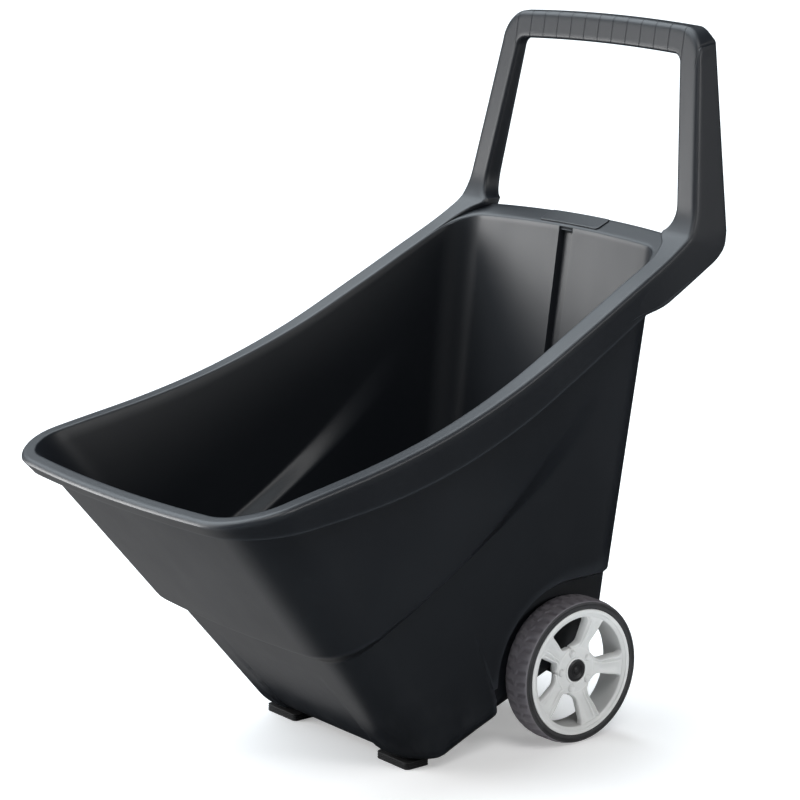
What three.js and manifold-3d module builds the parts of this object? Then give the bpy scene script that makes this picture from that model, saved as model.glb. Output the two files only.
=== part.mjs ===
// A two-wheeled garden cart: a deep scoop-shaped tub moulded in one piece with its rim and loop
// handle, a steel axle clamped in a channel under the tub, two tyred wheels and two push-in feet.
//
// Millimetres. +Z is up and the floor is z = 0. The scoop's lip faces -Y and the handle stands at
// +Y. The plane x = 0 is the plane of symmetry. The origin is the middle of the footprint.
import * as THREE from "three";
import { mergeVertices } from "three/addons/utils/BufferGeometryUtils.js";
import Module from "manifold-3d";

const wasm = await Module();
wasm.setup();

// ---- Overall sizes ----
const LENGTH = 752; // lip to the back of the grip
const TUB_HEIGHT = 598; // floor to the back of the rim
const LIP_HEIGHT = 354; // floor to the front lip
const HANDLE_RISE = 242; // back of the rim to the crown of the grip
const WALL = 4; // every moulded wall
const GAP = 0.3; // clearance between pieces that touch

// ---- Rim, seen from above ----
const RIM_FRONT_HALF = 243; // half width at the front corners
const RIM_REAR_HALF = 212; // half width at the back corners
const RIM_SIDE_BOW = 6; // how far each side swells outwards
const RIM_FRONT_BOW = 15;
const RIM_REAR_BOW = 15;
const RIM_FRONT_RADIUS = 68;
const RIM_REAR_RADIUS = 58;
const HANDLE_OVERHANG = 48; // back of the rim to the back of the grip
const RIM_EDGE = 5; // rounding of the rim's outer edge

// ---- Tub ----
const SCOOP_OVERHANG = 311; // lip to the front of the tub's floor
const FLOOR_REAR_SETBACK = 145; // back of the grip to the back of the floor
const FLOOR_FRONT_HALF = 168;
const FLOOR_REAR_HALF = 176;
const FLOOR_SIDE_WAIST = 11; // how far each side of the floor draws in between its corners
const FLOOR_FRONT_RADIUS = 55;
const FLOOR_REAR_RADIUS = 45;
const FLOOR_FLAT = 44; // level stretch of the floor over the feet
const AXLE_BED = 8.45; // floor's underside up to the axle's centre, which sets the floor's slope
const FLOOR_EDGE = 16; // rounding where the floor meets the walls
const STEP_HEIGHT = 160; // height of the nesting step on the front wall
const STEP_DEPTH = 17; // how far the walls above the step stand out
const STEP_FRONT_BAND = 12; // height of the step itself, at the front
const STEP_REAR_BAND = 46; // and where it fades out at the back
const STEP_CORNER_START = 175; // lip to where the step lifts round the front corners
const STEP_CORNER_RISE = 21;
const STEP_BEND = 213; // lip to where it starts to climb along the sides
const STEP_CLIMB = 0.42; // its first slope there
const STEP_CURVE = 0.0007; // and how the slope grows
const STEP_FADE_START = 330; // lip to where the step starts to fade, along the cart
const STEP_FADE_END = 590;
const RECESS_HALF = 98; // half width of the hollow between the two front legs
const RECESS_TOP = 132;
const RECESS_DEPTH = 9; // its depth at the floor
const GROOVE_WIDTH = 22; // upright groove inside the back wall
const GROOVE_DEPTH = 8;

// ---- Handle ----
const LEG_WIDTH = 33;
const LEG_TAPER = 0.168; // how fast the legs close in, per unit of height
const LEG_LEAN = 0.159; // backward lean of the front face, per unit of height
const LEG_SETBACK = 18; // back of the rim to the front of the legs, towards the lip
const LEG_FOOT_DEPTH = 54; // front to back, where the legs leave the rim
const LIP_FOOT_DEPTH = 25; // the same across the legs' inner walls
const LIP_TOP_DEPTH = 15; // and under the grip
const KNEE_DROP = 78; // how far the knees reach below the rim's back
const KNEE_RADIUS = 20; // fillet between the legs' inner walls and the rim
const GRIP_HEIGHT = 34;
const GRIP_ARCH = 8; // rise of the grip's middle over its ends
const CORNER_FRONT_RADIUS = 38; // the loop's outer corners on the front face
const CORNER_BACK_RADIUS = 20; // and at the back
const CORNER_INNER_RADIUS = 11;
const HANDLE_EDGE = 7; // rounding of the handle's front edges
const GRIP_BACK_EDGE = 9; // rounding of the grip's back edge
const RETURN_LIP = 6; // inward lip along the handle's back edge
const RIB = 2.5; // cross ribs inside the handle
const GRIP_NOTCH_PITCH = 100; // deep notches across the grip
const GRIP_NOTCH_WIDTH = 2;
const GRIP_NOTCH_DEPTH = 1.6;

// ---- Wheels and axle ----
const WHEEL_RADIUS = 88;
const WHEEL_WIDTH = 39;
const WHEEL_OUTER_FACE = 191; // centre plane to the wheels' outer faces
const AXLE_SETBACK = 214; // back of the grip to the axle
const AXLE_RADIUS = 5;
const RUNNING_CLEARANCE = 0.06; // radial, bush on axle
const TYRE_DEPTH = 13.5;
const TYRE_SHOULDER = 4.5; // rounding of the tread into the sides
const RIM_SHELL = 5; // thickness of the wheel rim's barrel
const RIM_LIP = 2; // how far its outer flange covers the tyre
const SPOKE_COUNT = 5;
const SPOKE_TURN = THREE.MathUtils.degToRad(-2); // first spoke, up from straight back
const SPOKE_ROOT_WIDTH = 15;
const SPOKE_TIP_WIDTH = 30;
const SPOKE_THICKNESS = 7;
const HUB_RADIUS = 21;
const HUB_RECESS = 10; // how far the hub's face lies inside the wheel's outer face
const CAP_RADIUS = 13.5;
const CAP_PROUD = 2;
const BUSH_RADIUS = 8;
const BUSH_FLANGE = 11;
const WASHER_RADIUS = 11;
const WASHER_THICKNESS = 1.5;
const PUSH_NUT_RADIUS = 9;
const PUSH_NUT_THICKNESS = 2.2;
const SPACER_RADIUS = 11;
const SPACER_LENGTH = 3.4;
const WHEEL_CLEARANCE = 18; // tyre to the wheel arch

// ---- Axle clamps, feet and badge ----
const CLAMP_OFFSET = 96; // centre plane to each clamp
const CLAMP_WIDTH = 24;
const CLAMP_LENGTH = 52;
const CLAMP_THICKNESS = 3;
const CLAMP_SCREW_SPACING = 34;
const BOSS_RADIUS = 6;
const BOSS_HEIGHT = 9;
const SCREW_RADIUS = 2;
const SCREW_LENGTH = 9;
const SCREW_HEAD_RADIUS = 4;
const SCREW_HEAD_HEIGHT = 2.4;
const FOOT_HEIGHT = 9;
const FOOT_OFFSET = 110; // centre plane to each foot
const FOOT_WIDTH = 59;
const FOOT_LENGTH = 35;
const FOOT_SETBACK = 4; // front of the floor to the front of each foot
const FOOT_STEM_RADIUS = 4;
const FOOT_STEM_SETBACK = 12; // middle of the pad to the stem
const FOOT_HEAD_RADIUS = 6;
const BADGE_WIDTH = 106;
const BADGE_THICKNESS = 1.5;

// ---- Mesh fineness ----
const FRONT_STEPS = 6;
const CORNER_STEPS = 8;
const SIDE_STEPS = 16;
const REAR_STEPS = 6;
const ROUND_SIDES = 32;
const TYRE_SIDES = 40;
const HANDLE_CORNER_STEPS = 6;
const GRIP_STEPS = 5;
const KNEE_STATIONS = 5; // stations of the knee that stay solid

// ---- Places that follow from the sizes ----
const LIP_Y = -LENGTH / 2;
const GRIP_BACK_Y = LENGTH / 2;
const RIM_BACK_Y = GRIP_BACK_Y - HANDLE_OVERHANG;
const FLOOR_FRONT_Y = LIP_Y + SCOOP_OVERHANG;
const FLOOR_REAR_Y = GRIP_BACK_Y - FLOOR_REAR_SETBACK;
const FLOOR_Z = FOOT_HEIGHT + GAP;
const AXLE_Y = GRIP_BACK_Y - AXLE_SETBACK;
const AXLE_Z = WHEEL_RADIUS;
const WHEEL_INNER_FACE = WHEEL_OUTER_FACE - WHEEL_WIDTH;
const FLOOR_SLOPE = Math.atan((AXLE_Z - AXLE_BED - FLOOR_Z) / (AXLE_Y - FLOOR_FRONT_Y - FLOOR_FLAT));
const ARCH_X = WHEEL_INNER_FACE - SPACER_LENGTH - 2 * GAP;
const HUB_FACE = WHEEL_OUTER_FACE - HUB_RECESS;
const CAP_BASE = HUB_FACE - WASHER_THICKNESS - PUSH_NUT_THICKNESS - 5;
const RIM_OUTER_RADIUS = WHEEL_RADIUS - TYRE_DEPTH;
const HANDLE_TOP_Z = TUB_HEIGHT + HANDLE_RISE;

// ---- Materials ----
const PLASTIC_BODY = { color: 0x23272d, roughness: 0.55, metalness: 0 };
const PLASTIC_BLACK = { color: 0x0c0c0d, roughness: 0.5, metalness: 0 };
const PLASTIC_SILVER = { color: 0xc4c6c5, roughness: 0.4, metalness: 0.2 };
const PLASTIC_WHITE = { color: 0xd8d8d2, roughness: 0.5, metalness: 0 };
const RUBBER_TYRE = { color: 0x2b292d, roughness: 0.85, metalness: 0 };
const RUBBER_FOOT = { color: 0x0b0b0c, roughness: 0.9, metalness: 0 };
const STEEL = { color: 0xa9abae, roughness: 0.35, metalness: 1 };

const cart = new THREE.Group();

// ---------------------------------------------------------------- helpers

/** Adds a closed geometry to the cart as a named piece with its own material. */
function addPiece(name, geometry, finish) {
  const mesh = new THREE.Mesh(geometry, new THREE.MeshStandardMaterial(finish));
  mesh.name = name;
  cart.add(mesh);
}

/** A three.js geometry as a manifold solid. */
function solidOf(geometry) {
  const bare = geometry.clone();
  bare.deleteAttribute("normal");
  bare.deleteAttribute("uv");
  const merged = mergeVertices(bare, 1e-4);
  return new wasm.Manifold(
    new wasm.Mesh({
      numProp: 3,
      vertProperties: new Float32Array(merged.attributes.position.array),
      triVerts: new Uint32Array(merged.index.array),
    }),
  );
}

/** A manifold solid as a three.js geometry. */
function geometryOf(solid) {
  const mesh = solid.getMesh();
  const positions = [];
  for (let v = 0; v < mesh.numVert; v++) {
    positions.push(...mesh.vertProperties.slice(v * mesh.numProp, v * mesh.numProp + 3));
  }
  return indexed(positions, Array.from(mesh.triVerts));
}

/** A BufferGeometry from flat positions and triangle indices. */
function indexed(positions, triangles) {
  const geometry = new THREE.BufferGeometry();
  geometry.setAttribute("position", new THREE.Float32BufferAttribute(positions, 3));
  geometry.setIndex(triangles);
  geometry.computeVertexNormals();
  return geometry;
}

/** Joins solids into one. */
function union(solids) {
  return solids.reduce((sum, solid) => sum.add(solid));
}

/** Reverses a closed mesh that is inside out. */
function facingOut(positions, triangles) {
  const corner = (t) => new THREE.Vector3().fromArray(positions, triangles[t] * 3);
  let volume = 0;
  for (let t = 0; t < triangles.length; t += 3) {
    volume += corner(t).dot(corner(t + 1).cross(corner(t + 2)));
  }
  return volume > 0 ? triangles : triangles.reverse();
}

/** Triangles between rings a and b of one body's points, each quad split on its shorter diagonal. */
function ringBand(rings, a, b) {
  const n = rings[a].length;
  const triangles = [];
  for (let i = 0; i < n; i++) {
    const j = (i + 1) % n;
    const [p, q, r, s] = [a * n + i, a * n + j, b * n + j, b * n + i];
    const straight = rings[a][i].distanceTo(rings[b][j]) <= rings[a][j].distanceTo(rings[b][i]);
    triangles.push(...(straight ? [p, q, r, p, r, s] : [p, q, s, q, r, s]));
  }
  return triangles;
}

/** Triangles that close a left-right symmetric ring with rungs from side to side. */
function ladderCap(start, n) {
  const triangles = [];
  for (let i = 0; i < n / 2; i++) {
    const [a, b] = [i, i + 1];
    const [c, d] = [(n - i) % n, (n - i - 1) % n];
    if (a !== c) triangles.push(start + a, start + c, start + b);
    if (b !== d) triangles.push(start + b, start + c, start + d);
  }
  return triangles;
}

/** A closed body through symmetric rings, each an array of points, capped at both ends. */
function loftOfRings(rings) {
  const n = rings[0].length;
  const positions = rings.flat().flatMap((p) => [p.x, p.y, p.z]);
  const triangles = ladderCap(0, n);
  rings.slice(1).forEach((_, k) => triangles.push(...ringBand(rings, k, k + 1)));
  const last = ladderCap((rings.length - 1) * n, n).reverse();
  return indexed(positions, facingOut(positions, [...triangles, ...last]));
}

/** A closed body through convex sections, capped at both ends with fans. */
function loftOfSections(sections) {
  const n = sections[0].length;
  const positions = sections.flat().flatMap((p) => [p.x, p.y, p.z]);
  const triangles = [];
  const end = (sections.length - 1) * n;
  for (let i = 1; i < n - 1; i++) {
    triangles.push(0, i + 1, i, end, end + i, end + i + 1);
  }
  sections.slice(1).forEach((_, k) => triangles.push(...ringBand(sections, k, k + 1)));
  return indexed(positions, facingOut(positions, triangles));
}

/** A prism along X between x0 and x1, from a closed outline of [y, z] points. */
function prismX(outline, x0, x1) {
  const shape = new THREE.Shape(outline.map(([y, z]) => new THREE.Vector2(y, z)));
  const geometry = new THREE.ExtrudeGeometry(shape, { depth: x1 - x0, bevelEnabled: false });
  // The extrusion's x, y and z become the cart's y, z and x.
  const turn = new THREE.Matrix4().makeBasis(
    new THREE.Vector3(0, 1, 0),
    new THREE.Vector3(0, 0, 1),
    new THREE.Vector3(1, 0, 0),
  );
  geometry.applyMatrix4(turn);
  geometry.translate(x0, 0, 0);
  return geometry;
}

/** A closed lathe of [radius, x] points, turned about the wheels' axis. */
function latheX(profile, sides) {
  const points = profile.map(([r, x]) => new THREE.Vector2(r, x));
  const geometry = new THREE.LatheGeometry([...points, points[0].clone()], sides);
  geometry.rotateZ(-Math.PI / 2);
  geometry.translate(0, AXLE_Y, AXLE_Z);
  const merged = mergeVertices(stripped(geometry), 1e-4);
  const positions = Array.from(merged.attributes.position.array);
  return indexed(positions, facingOut(positions, Array.from(merged.index.array)));
}

/** A copy of a geometry with positions only and no collapsed triangles. */
function stripped(geometry) {
  const bare = geometry.clone();
  bare.deleteAttribute("normal");
  bare.deleteAttribute("uv");
  return bare;
}

/** The geometry mirrored to the other side of the plane x = 0. */
function mirrored(geometry) {
  const positions = Array.from(geometry.attributes.position.array).map((v, i) => (i % 3 ? v : -v));
  return indexed(positions, Array.from(geometry.index.array).reverse());
}

/** Radius of a polygonal hole with n sides that clears a round bar of radius r. */
function boreRadius(r, clearance, n = ROUND_SIDES) {
  return (r + clearance) / Math.cos(Math.PI / n);
}

/** A smooth function through [x, y] points, level beyond its ends. */
function through(points) {
  const slope = (i) => {
    const a = points[Math.max(i - 1, 0)];
    const b = points[Math.min(i + 1, points.length - 1)];
    return (b[1] - a[1]) / (b[0] - a[0]);
  };
  return (x) => {
    if (x <= points[0][0]) return points[0][1];
    const i = points.findIndex((p) => p[0] >= x);
    if (i < 0) return points[points.length - 1][1];
    const [x0, y0] = points[i - 1];
    const [x1, y1] = points[i];
    const h = x1 - x0;
    const t = (x - x0) / h;
    const s = 1 - t;
    const ends = y0 * (1 + 2 * t) * s * s + y1 * (1 + 2 * s) * t * t;
    return ends + h * t * s * (slope(i - 1) * s - slope(i) * t);
  };
}

const { clamp, lerp, smoothstep } = THREE.MathUtils;

// ---------------------------------------------------------------- plan outlines and heights

/** Height of the rim at y: a low lip, a sweeping side and a level run into the handle. */
const rimShape = through([
  [0, 0],
  [0.1, 0.069],
  [0.3, 0.176],
  [0.44, 0.28],
  [0.585, 0.433],
  [0.727, 0.629],
  [0.87, 0.835],
  [1, 1],
]);
const rimZ = (y) => {
  const share = (y - LIP_Y) / (RIM_BACK_Y - LIP_Y);
  return lerp(LIP_HEIGHT, TUB_HEIGHT, rimShape(share)) + Math.max(share - 1, 0) * (TUB_HEIGHT - LIP_HEIGHT);
};

/** Width of the rim's top and depth of its outer skirt, along the cart. */
const rimWidth = through([
  [LIP_Y, 17],
  [LIP_Y + 90, 20],
  [LIP_Y + 310, 23],
  [LIP_Y + 500, 29],
  [RIM_BACK_Y, 30],
]);
const skirtDepth = through([
  [LIP_Y, 17],
  [LIP_Y + 72, 30],
  [LIP_Y + 212, 41],
  [LIP_Y + 412, 46],
  [RIM_BACK_Y, 44],
]);

/** Underside of the tub's floor at y: level over the feet, then rising to the back. */
function floorZ(y) {
  const rise = y - FLOOR_FRONT_Y - FLOOR_FLAT;
  return FLOOR_Z + Math.max(rise, 0) * Math.tan(FLOOR_SLOPE);
}

/** Right half of a plan outline, from the middle of the front to the middle of the back. */
function planHalf(p) {
  const front = new THREE.Vector2(p.frontHalf, p.front);
  const rear = new THREE.Vector2(p.rearHalf, p.rear);
  const side = rear.clone().sub(front);
  const out = new THREE.Vector2(side.y, -side.x).normalize();
  const sideBow = (t) => p.sideBow * 4 * t * (1 - t);
  const sidePoint = (t) => front.clone().addScaledVector(side, t).addScaledVector(out, sideBow(t));
  const frontPoint = (x) => new THREE.Vector2(x, p.front - p.frontBow * (1 - (x / p.frontHalf) ** 2));
  const rearPoint = (x) => new THREE.Vector2(x, p.rear + p.rearBow * (1 - (x / p.rearHalf) ** 2));
  const t0 = p.frontRadius / side.length();
  const t1 = 1 - p.rearRadius / side.length();
  const frontEnd = p.frontHalf - p.frontRadius;
  const rearStart = p.rearHalf - p.rearRadius;
  const corner = (a, aDir, b, bDir, radius) =>
    new THREE.CubicBezierCurve(
      a,
      a.clone().addScaledVector(aDir.normalize(), 0.55 * radius),
      b.clone().addScaledVector(bDir.normalize(), -0.55 * radius),
      b,
    ).getPoints(CORNER_STEPS);
  const tangent = (f, t) => f(t + 0.01).sub(f(t - 0.01));
  const spread = (f, from, to, steps) =>
    Array.from({ length: steps }, (_, i) => f(lerp(from, to, i / steps)));
  const frontCorner = corner(
    frontPoint(frontEnd),
    tangent(frontPoint, frontEnd),
    sidePoint(t0),
    tangent(sidePoint, t0),
    p.frontRadius,
  );
  const rearCorner = corner(
    sidePoint(t1),
    tangent(sidePoint, t1),
    rearPoint(rearStart),
    tangent(rearPoint, rearStart).negate(),
    p.rearRadius,
  );
  return [
    ...spread(frontPoint, 0, frontEnd, FRONT_STEPS),
    ...frontCorner.slice(0, -1),
    ...spread(sidePoint, t0, t1, SIDE_STEPS),
    ...rearCorner.slice(0, -1),
    ...spread(rearPoint, rearStart, 0, REAR_STEPS),
    rearPoint(0),
  ];
}

/** A whole plan outline, anticlockwise from the middle of the front, with outward normals. */
function plan(p) {
  const right = planHalf(p);
  const left = right.slice(1, -1).reverse().map((q) => new THREE.Vector2(-q.x, q.y));
  const points = [...right, ...left];
  return points.map((point, i) => {
    const before = points[(i + points.length - 1) % points.length];
    const after = points[(i + 1) % points.length];
    const along = after.clone().sub(before).normalize();
    return { point, out: new THREE.Vector2(along.y, -along.x) };
  });
}

const rimPlan = plan({
  front: LIP_Y + RIM_FRONT_BOW,
  rear: RIM_BACK_Y - RIM_REAR_BOW,
  frontHalf: RIM_FRONT_HALF,
  rearHalf: RIM_REAR_HALF,
  frontBow: RIM_FRONT_BOW,
  rearBow: RIM_REAR_BOW,
  sideBow: RIM_SIDE_BOW,
  frontRadius: RIM_FRONT_RADIUS,
  rearRadius: RIM_REAR_RADIUS,
});
const floorPlan = plan({
  front: FLOOR_FRONT_Y + 3,
  rear: FLOOR_REAR_Y - 8,
  frontHalf: FLOOR_FRONT_HALF,
  rearHalf: FLOOR_REAR_HALF,
  frontBow: 3,
  rearBow: 8,
  sideBow: -FLOOR_SIDE_WAIST,
  frontRadius: FLOOR_FRONT_RADIUS,
  rearRadius: FLOOR_REAR_RADIUS,
});

/** Height of the step's middle on the wall at y. */
function stepZ(y) {
  const back = Math.max(y - (LIP_Y + STEP_BEND), 0);
  const corner = STEP_CORNER_RISE * smoothstep(y, LIP_Y + STEP_CORNER_START, LIP_Y + STEP_BEND + 10);
  return STEP_HEIGHT + corner + STEP_CLIMB * back + STEP_CURVE * back ** 2;
}

/** A point on the tub's wall at height z, moved outwards by offset, above or below the step. */
function wallPoint(s, z, aboveStep, offset) {
  const foot = s.top.clone().addScaledVector(s.out, -s.depth);
  const share = (z - s.bottomZ) / (s.topZ - s.bottomZ);
  const flat = s.floor.clone().lerp(foot, share);
  flat.addScaledVector(s.out, offset + (aboveStep ? s.depth : 0));
  return new THREE.Vector3(flat.x, flat.y, z);
}

/** One station of the tub: its points on the rim and the floor, and how its step lies. */
function station(i) {
  const { point: rim, out } = rimPlan[i];
  const floor = floorPlan[i].point;
  const top = rim.clone().addScaledVector(out, WALL - rimWidth(rim.y));
  const s = { rim, out, floor, top, topZ: rimZ(top.y), bottomZ: floorZ(floor.y), depth: 0 };
  let z = STEP_HEIGHT;
  for (let pass = 0; pass < 12; pass++) {
    const y = wallPoint(s, z, false, 0).y;
    const faded = smoothstep(y, LIP_Y + STEP_FADE_START, LIP_Y + STEP_FADE_END);
    s.depth = STEP_DEPTH * (1 - faded);
    s.band = lerp(STEP_FRONT_BAND, STEP_REAR_BAND, faded);
    z = lerp(z, stepZ(y), 0.7);
  }
  s.stepZ = Math.min(z, s.topZ - skirtDepth(rim.y) - s.band);
  return s;
}

const stations = rimPlan.map((_, i) => station(i));

/** Half width of the rim at y, along its sides. */
function rimHalf(y) {
  const front = LIP_Y + RIM_FRONT_BOW;
  const share = (y - front) / (RIM_BACK_Y - RIM_REAR_BOW - front);
  return lerp(RIM_FRONT_HALF, RIM_REAR_HALF, share) + RIM_SIDE_BOW * 4 * share * (1 - share);
}

/** A ring of the tub, from a function of the station. */
function ring(place) {
  return stations.map(place);
}

/** A ring on the floor, drawn in from its outline and lifted by the floor's thickness. */
function floorRing(inset, lift) {
  return ring((s) => {
    const flat = s.floor.clone().addScaledVector(s.out, -inset);
    return new THREE.Vector3(flat.x, flat.y, floorZ(flat.y) + lift);
  });
}

/** A ring on the rim, drawn in from its outer edge and dropped below its top. */
function rimRing(inset, drop) {
  return ring((s) => {
    const flat = s.rim.clone().addScaledVector(s.out, -inset(s));
    return new THREE.Vector3(flat.x, flat.y, rimZ(flat.y) - drop);
  });
}

/** The skirt's lower edge, which leans with the wall below it. */
function skirtRing(inset) {
  return ring((s) => {
    const depth = skirtDepth(s.rim.y);
    const lean = s.floor.clone().sub(s.top).multiplyScalar(depth / (s.topZ - s.bottomZ));
    const flat = s.rim.clone().addScaledVector(s.out, -inset).addScaledVector(lean, 0.8);
    return new THREE.Vector3(flat.x, flat.y, rimZ(s.rim.y) - depth);
  });
}

/** Rings of the tub's wall from the floor up, on its outer face or wall-deep inside it. */
function wallRings(offset) {
  const lift = -offset;
  const rise = FLOOR_EDGE;
  return [
    floorRing(rise, lift),
    ring((s) => wallPoint(s, s.bottomZ + lift + 0.3 * rise, false, offset - 0.3 * rise)),
    ring((s) => wallPoint(s, s.bottomZ + lift + rise, false, offset)),
    ring((s) => wallPoint(s, s.stepZ - s.band / 2, false, offset)),
    ring((s) => wallPoint(s, s.stepZ + s.band / 2, true, offset)),
  ];
}

// ---------------------------------------------------------------- tub

/** Everything inside the tub's outer face, up to above the rim. */
function tubEnvelope() {
  const rings = [...wallRings(0), ring((s) => wallPoint(s, s.topZ - WALL, true, 0))];
  return solidOf(loftOfRings(rings));
}

/** The bare moulded shell: outer wall, rim with its skirt, inner wall and floor. */
function tubShell() {
  const rings = [
    ...wallRings(0),
    rimRing((s) => rimWidth(s.rim.y) - WALL, WALL),
    rimRing(() => WALL, WALL + 1),
    skirtRing(WALL - 1),
    skirtRing(0),
    rimRing(() => 0, RIM_EDGE),
    rimRing(() => 0.3 * RIM_EDGE, 0.3 * RIM_EDGE),
    rimRing(() => RIM_EDGE, 0),
    rimRing((s) => rimWidth(s.rim.y) - 2, 0),
    rimRing((s) => rimWidth(s.rim.y), 2),
    ...wallRings(-WALL).reverse(),
  ];
  return solidOf(loftOfRings(rings));
}

/** The side of a wheel arch as a [y, z] outline, grown by a margin. */
function archOutline(margin) {
  const radius = WHEEL_RADIUS + WHEEL_CLEARANCE + margin;
  const outline = [
    [GRIP_BACK_Y, AXLE_Z + radius],
    [GRIP_BACK_Y, -50],
    [AXLE_Y - radius, -50],
  ];
  for (let i = 0; i <= 8; i++) {
    const angle = Math.PI - (i / 8) * (Math.PI / 2);
    outline.push([AXLE_Y + radius * Math.cos(angle), AXLE_Z + radius * Math.sin(angle)]);
  }
  return outline;
}

/** Both wheel arches as solids that reach in to x, grown by a margin. */
function arches(x, margin) {
  const far = RIM_FRONT_HALF + 60;
  const right = prismX(archOutline(margin), x, far);
  const left = prismX(archOutline(margin), -far, -x);
  return solidOf(right).add(solidOf(left));
}

/** The hollow between the front legs: a wedge that deepens towards the floor. */
function frontRecess(margin) {
  const s = stations[0];
  const at = (z) => wallPoint(s, z, false, 0).y;
  const top = RECESS_TOP + margin;
  const outline = [
    [at(top), top],
    [at(0) + RECESS_DEPTH + margin, 0],
    [at(0) + RECESS_DEPTH + margin, -60],
    [at(top) - 120, -60],
    [at(top) - 120, top],
  ];
  return solidOf(prismX(outline, -RECESS_HALF - margin, RECESS_HALF + margin));
}

/** A box in the axle's own frame: u up the floor's slope, w square to it, centred on the axle. */
function slopeBox(x, width, u0, u1, w0, w1) {
  const box = new THREE.BoxGeometry(width, u1 - u0, w1 - w0);
  box.translate(x, (u0 + u1) / 2, (w0 + w1) / 2);
  return toSlope(box);
}

/** Turns a geometry made about the axle into the floor's slope. */
function toSlope(geometry) {
  geometry.rotateX(FLOOR_SLOPE);
  geometry.translate(0, AXLE_Y, AXLE_Z);
  return geometry;
}

/** Where the floor's underside passes the axle, square to the slope. */
const FLOOR_W = -(AXLE_Z - floorZ(AXLE_Y)) * Math.cos(FLOOR_SLOPE);

/** A round bar along X through the axle's centre. */
function bar(radius, x0, x1, sides = ROUND_SIDES) {
  const geometry = new THREE.CylinderGeometry(radius, radius, x1 - x0, sides);
  geometry.rotateZ(-Math.PI / 2);
  geometry.translate((x0 + x1) / 2, AXLE_Y, AXLE_Z);
  return geometry;
}

/** The channel that the axle lies in, open downwards, grown by a margin. */
function axleChannel(margin) {
  const half = AXLE_RADIUS + GAP + margin;
  const reach = RIM_FRONT_HALF;
  const slot = slopeBox(0, 2 * reach, -half, half, FLOOR_W - 60, 0);
  return solidOf(slot).add(solidOf(bar(boreRadius(half, 0), -reach, reach)));
}

/** Upright groove inside the back wall, and the rib behind it, leaning with the wall. */
function rearGroove(margin, depth, from) {
  const s = stations[stations.length / 2];
  const low = s.bottomZ + 40;
  const high = s.topZ - 6;
  const inner = (z) => wallPoint(s, z, true, -WALL).y;
  const outline = [
    [inner(low) - from, low],
    [inner(high) - from, high],
    [inner(high) + depth + margin, high],
    [inner(low) + depth + margin, low],
  ];
  const half = GROOVE_WIDTH / 2 + margin;
  return solidOf(prismX(outline, -half, half));
}

/** Places of the clamps' screws, in the axle's own frame. */
const screwPlaces = [-CLAMP_OFFSET, CLAMP_OFFSET].flatMap((x) =>
  [-0.5, 0.5].map((side) => [x, side * CLAMP_SCREW_SPACING]),
);

/** A pin square to the floor's slope at (x, u), from w0 to w1. */
function slopePin(radius, x, u, w0, w1, sides) {
  const pin = new THREE.CylinderGeometry(radius, radius, w1 - w0, sides);
  pin.rotateX(Math.PI / 2);
  pin.translate(x, u, (w0 + w1) / 2);
  return toSlope(pin);
}

const BOSS_END = FLOOR_W - BOSS_HEIGHT;

/** Bosses under the floor for the clamps' screws. */
function clampBosses() {
  return union(screwPlaces.map(([x, u]) => solidOf(slopePin(BOSS_RADIUS, x, u, BOSS_END, FLOOR_W + 1, 16))));
}

/** Pilot holes in those bosses. */
function clampPilots() {
  const reach = BOSS_END - GAP - CLAMP_THICKNESS + SCREW_LENGTH + GAP;
  const radius = SCREW_RADIUS + GAP;
  return union(screwPlaces.map(([x, u]) => solidOf(slopePin(radius, x, u, BOSS_END - 1, reach, 12))));
}

const FOOT_Y = FLOOR_FRONT_Y + FOOT_SETBACK + FOOT_LENGTH / 2;
const STEM_Y = FOOT_Y + FOOT_STEM_SETBACK;

/** Holes in the floor for the feet's stems. */
function footHoles() {
  return union(
    [-1, 1].map((side) => {
      const hole = new THREE.CylinderGeometry(FOOT_STEM_RADIUS + GAP, FOOT_STEM_RADIUS + GAP, 40, 16);
      hole.rotateX(Math.PI / 2);
      hole.translate(side * FOOT_OFFSET, STEM_Y, FLOOR_Z);
      return solidOf(hole);
    }),
  );
}

// ---------------------------------------------------------------- handle

/** Front and back of the handle at height z. */
const handleFront = (z) => RIM_BACK_Y - LEG_SETBACK + LEG_LEAN * (z - TUB_HEIGHT);
const handleBack = (z) => {
  const share = clamp((z - TUB_HEIGHT) / HANDLE_RISE, 0, 1);
  return lerp(RIM_BACK_Y - LEG_SETBACK + LEG_FOOT_DEPTH, GRIP_BACK_Y, share);
};

/** Half of a loop's edge from a leg's foot to the grip's middle, as [x, z] points. */
function loopEdge(foot, top, radius) {
  const leg = (z) => foot - LEG_TAPER * (z - TUB_HEIGHT);
  const crown = (x) => top - GRIP_ARCH * (x / RIM_REAR_HALF) ** 2;
  const turn = leg(top - radius);
  const points = [0.08, 0.17, 0.33, 0.67].map((t) => {
    const z = lerp(TUB_HEIGHT, top, t);
    return [leg(z), z];
  });
  for (let i = 0; i <= HANDLE_CORNER_STEPS; i++) {
    const angle = (i / HANDLE_CORNER_STEPS) * (Math.PI / 2);
    const x = turn - radius * (1 - Math.cos(angle));
    points.push([x, crown(x) - radius * (1 - Math.sin(angle))]);
  }
  const last = points[points.length - 1][0];
  for (let i = 1; i <= GRIP_STEPS; i++) {
    const x = last * (1 - i / GRIP_STEPS);
    points.push([x, crown(x)]);
  }
  return points;
}

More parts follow.
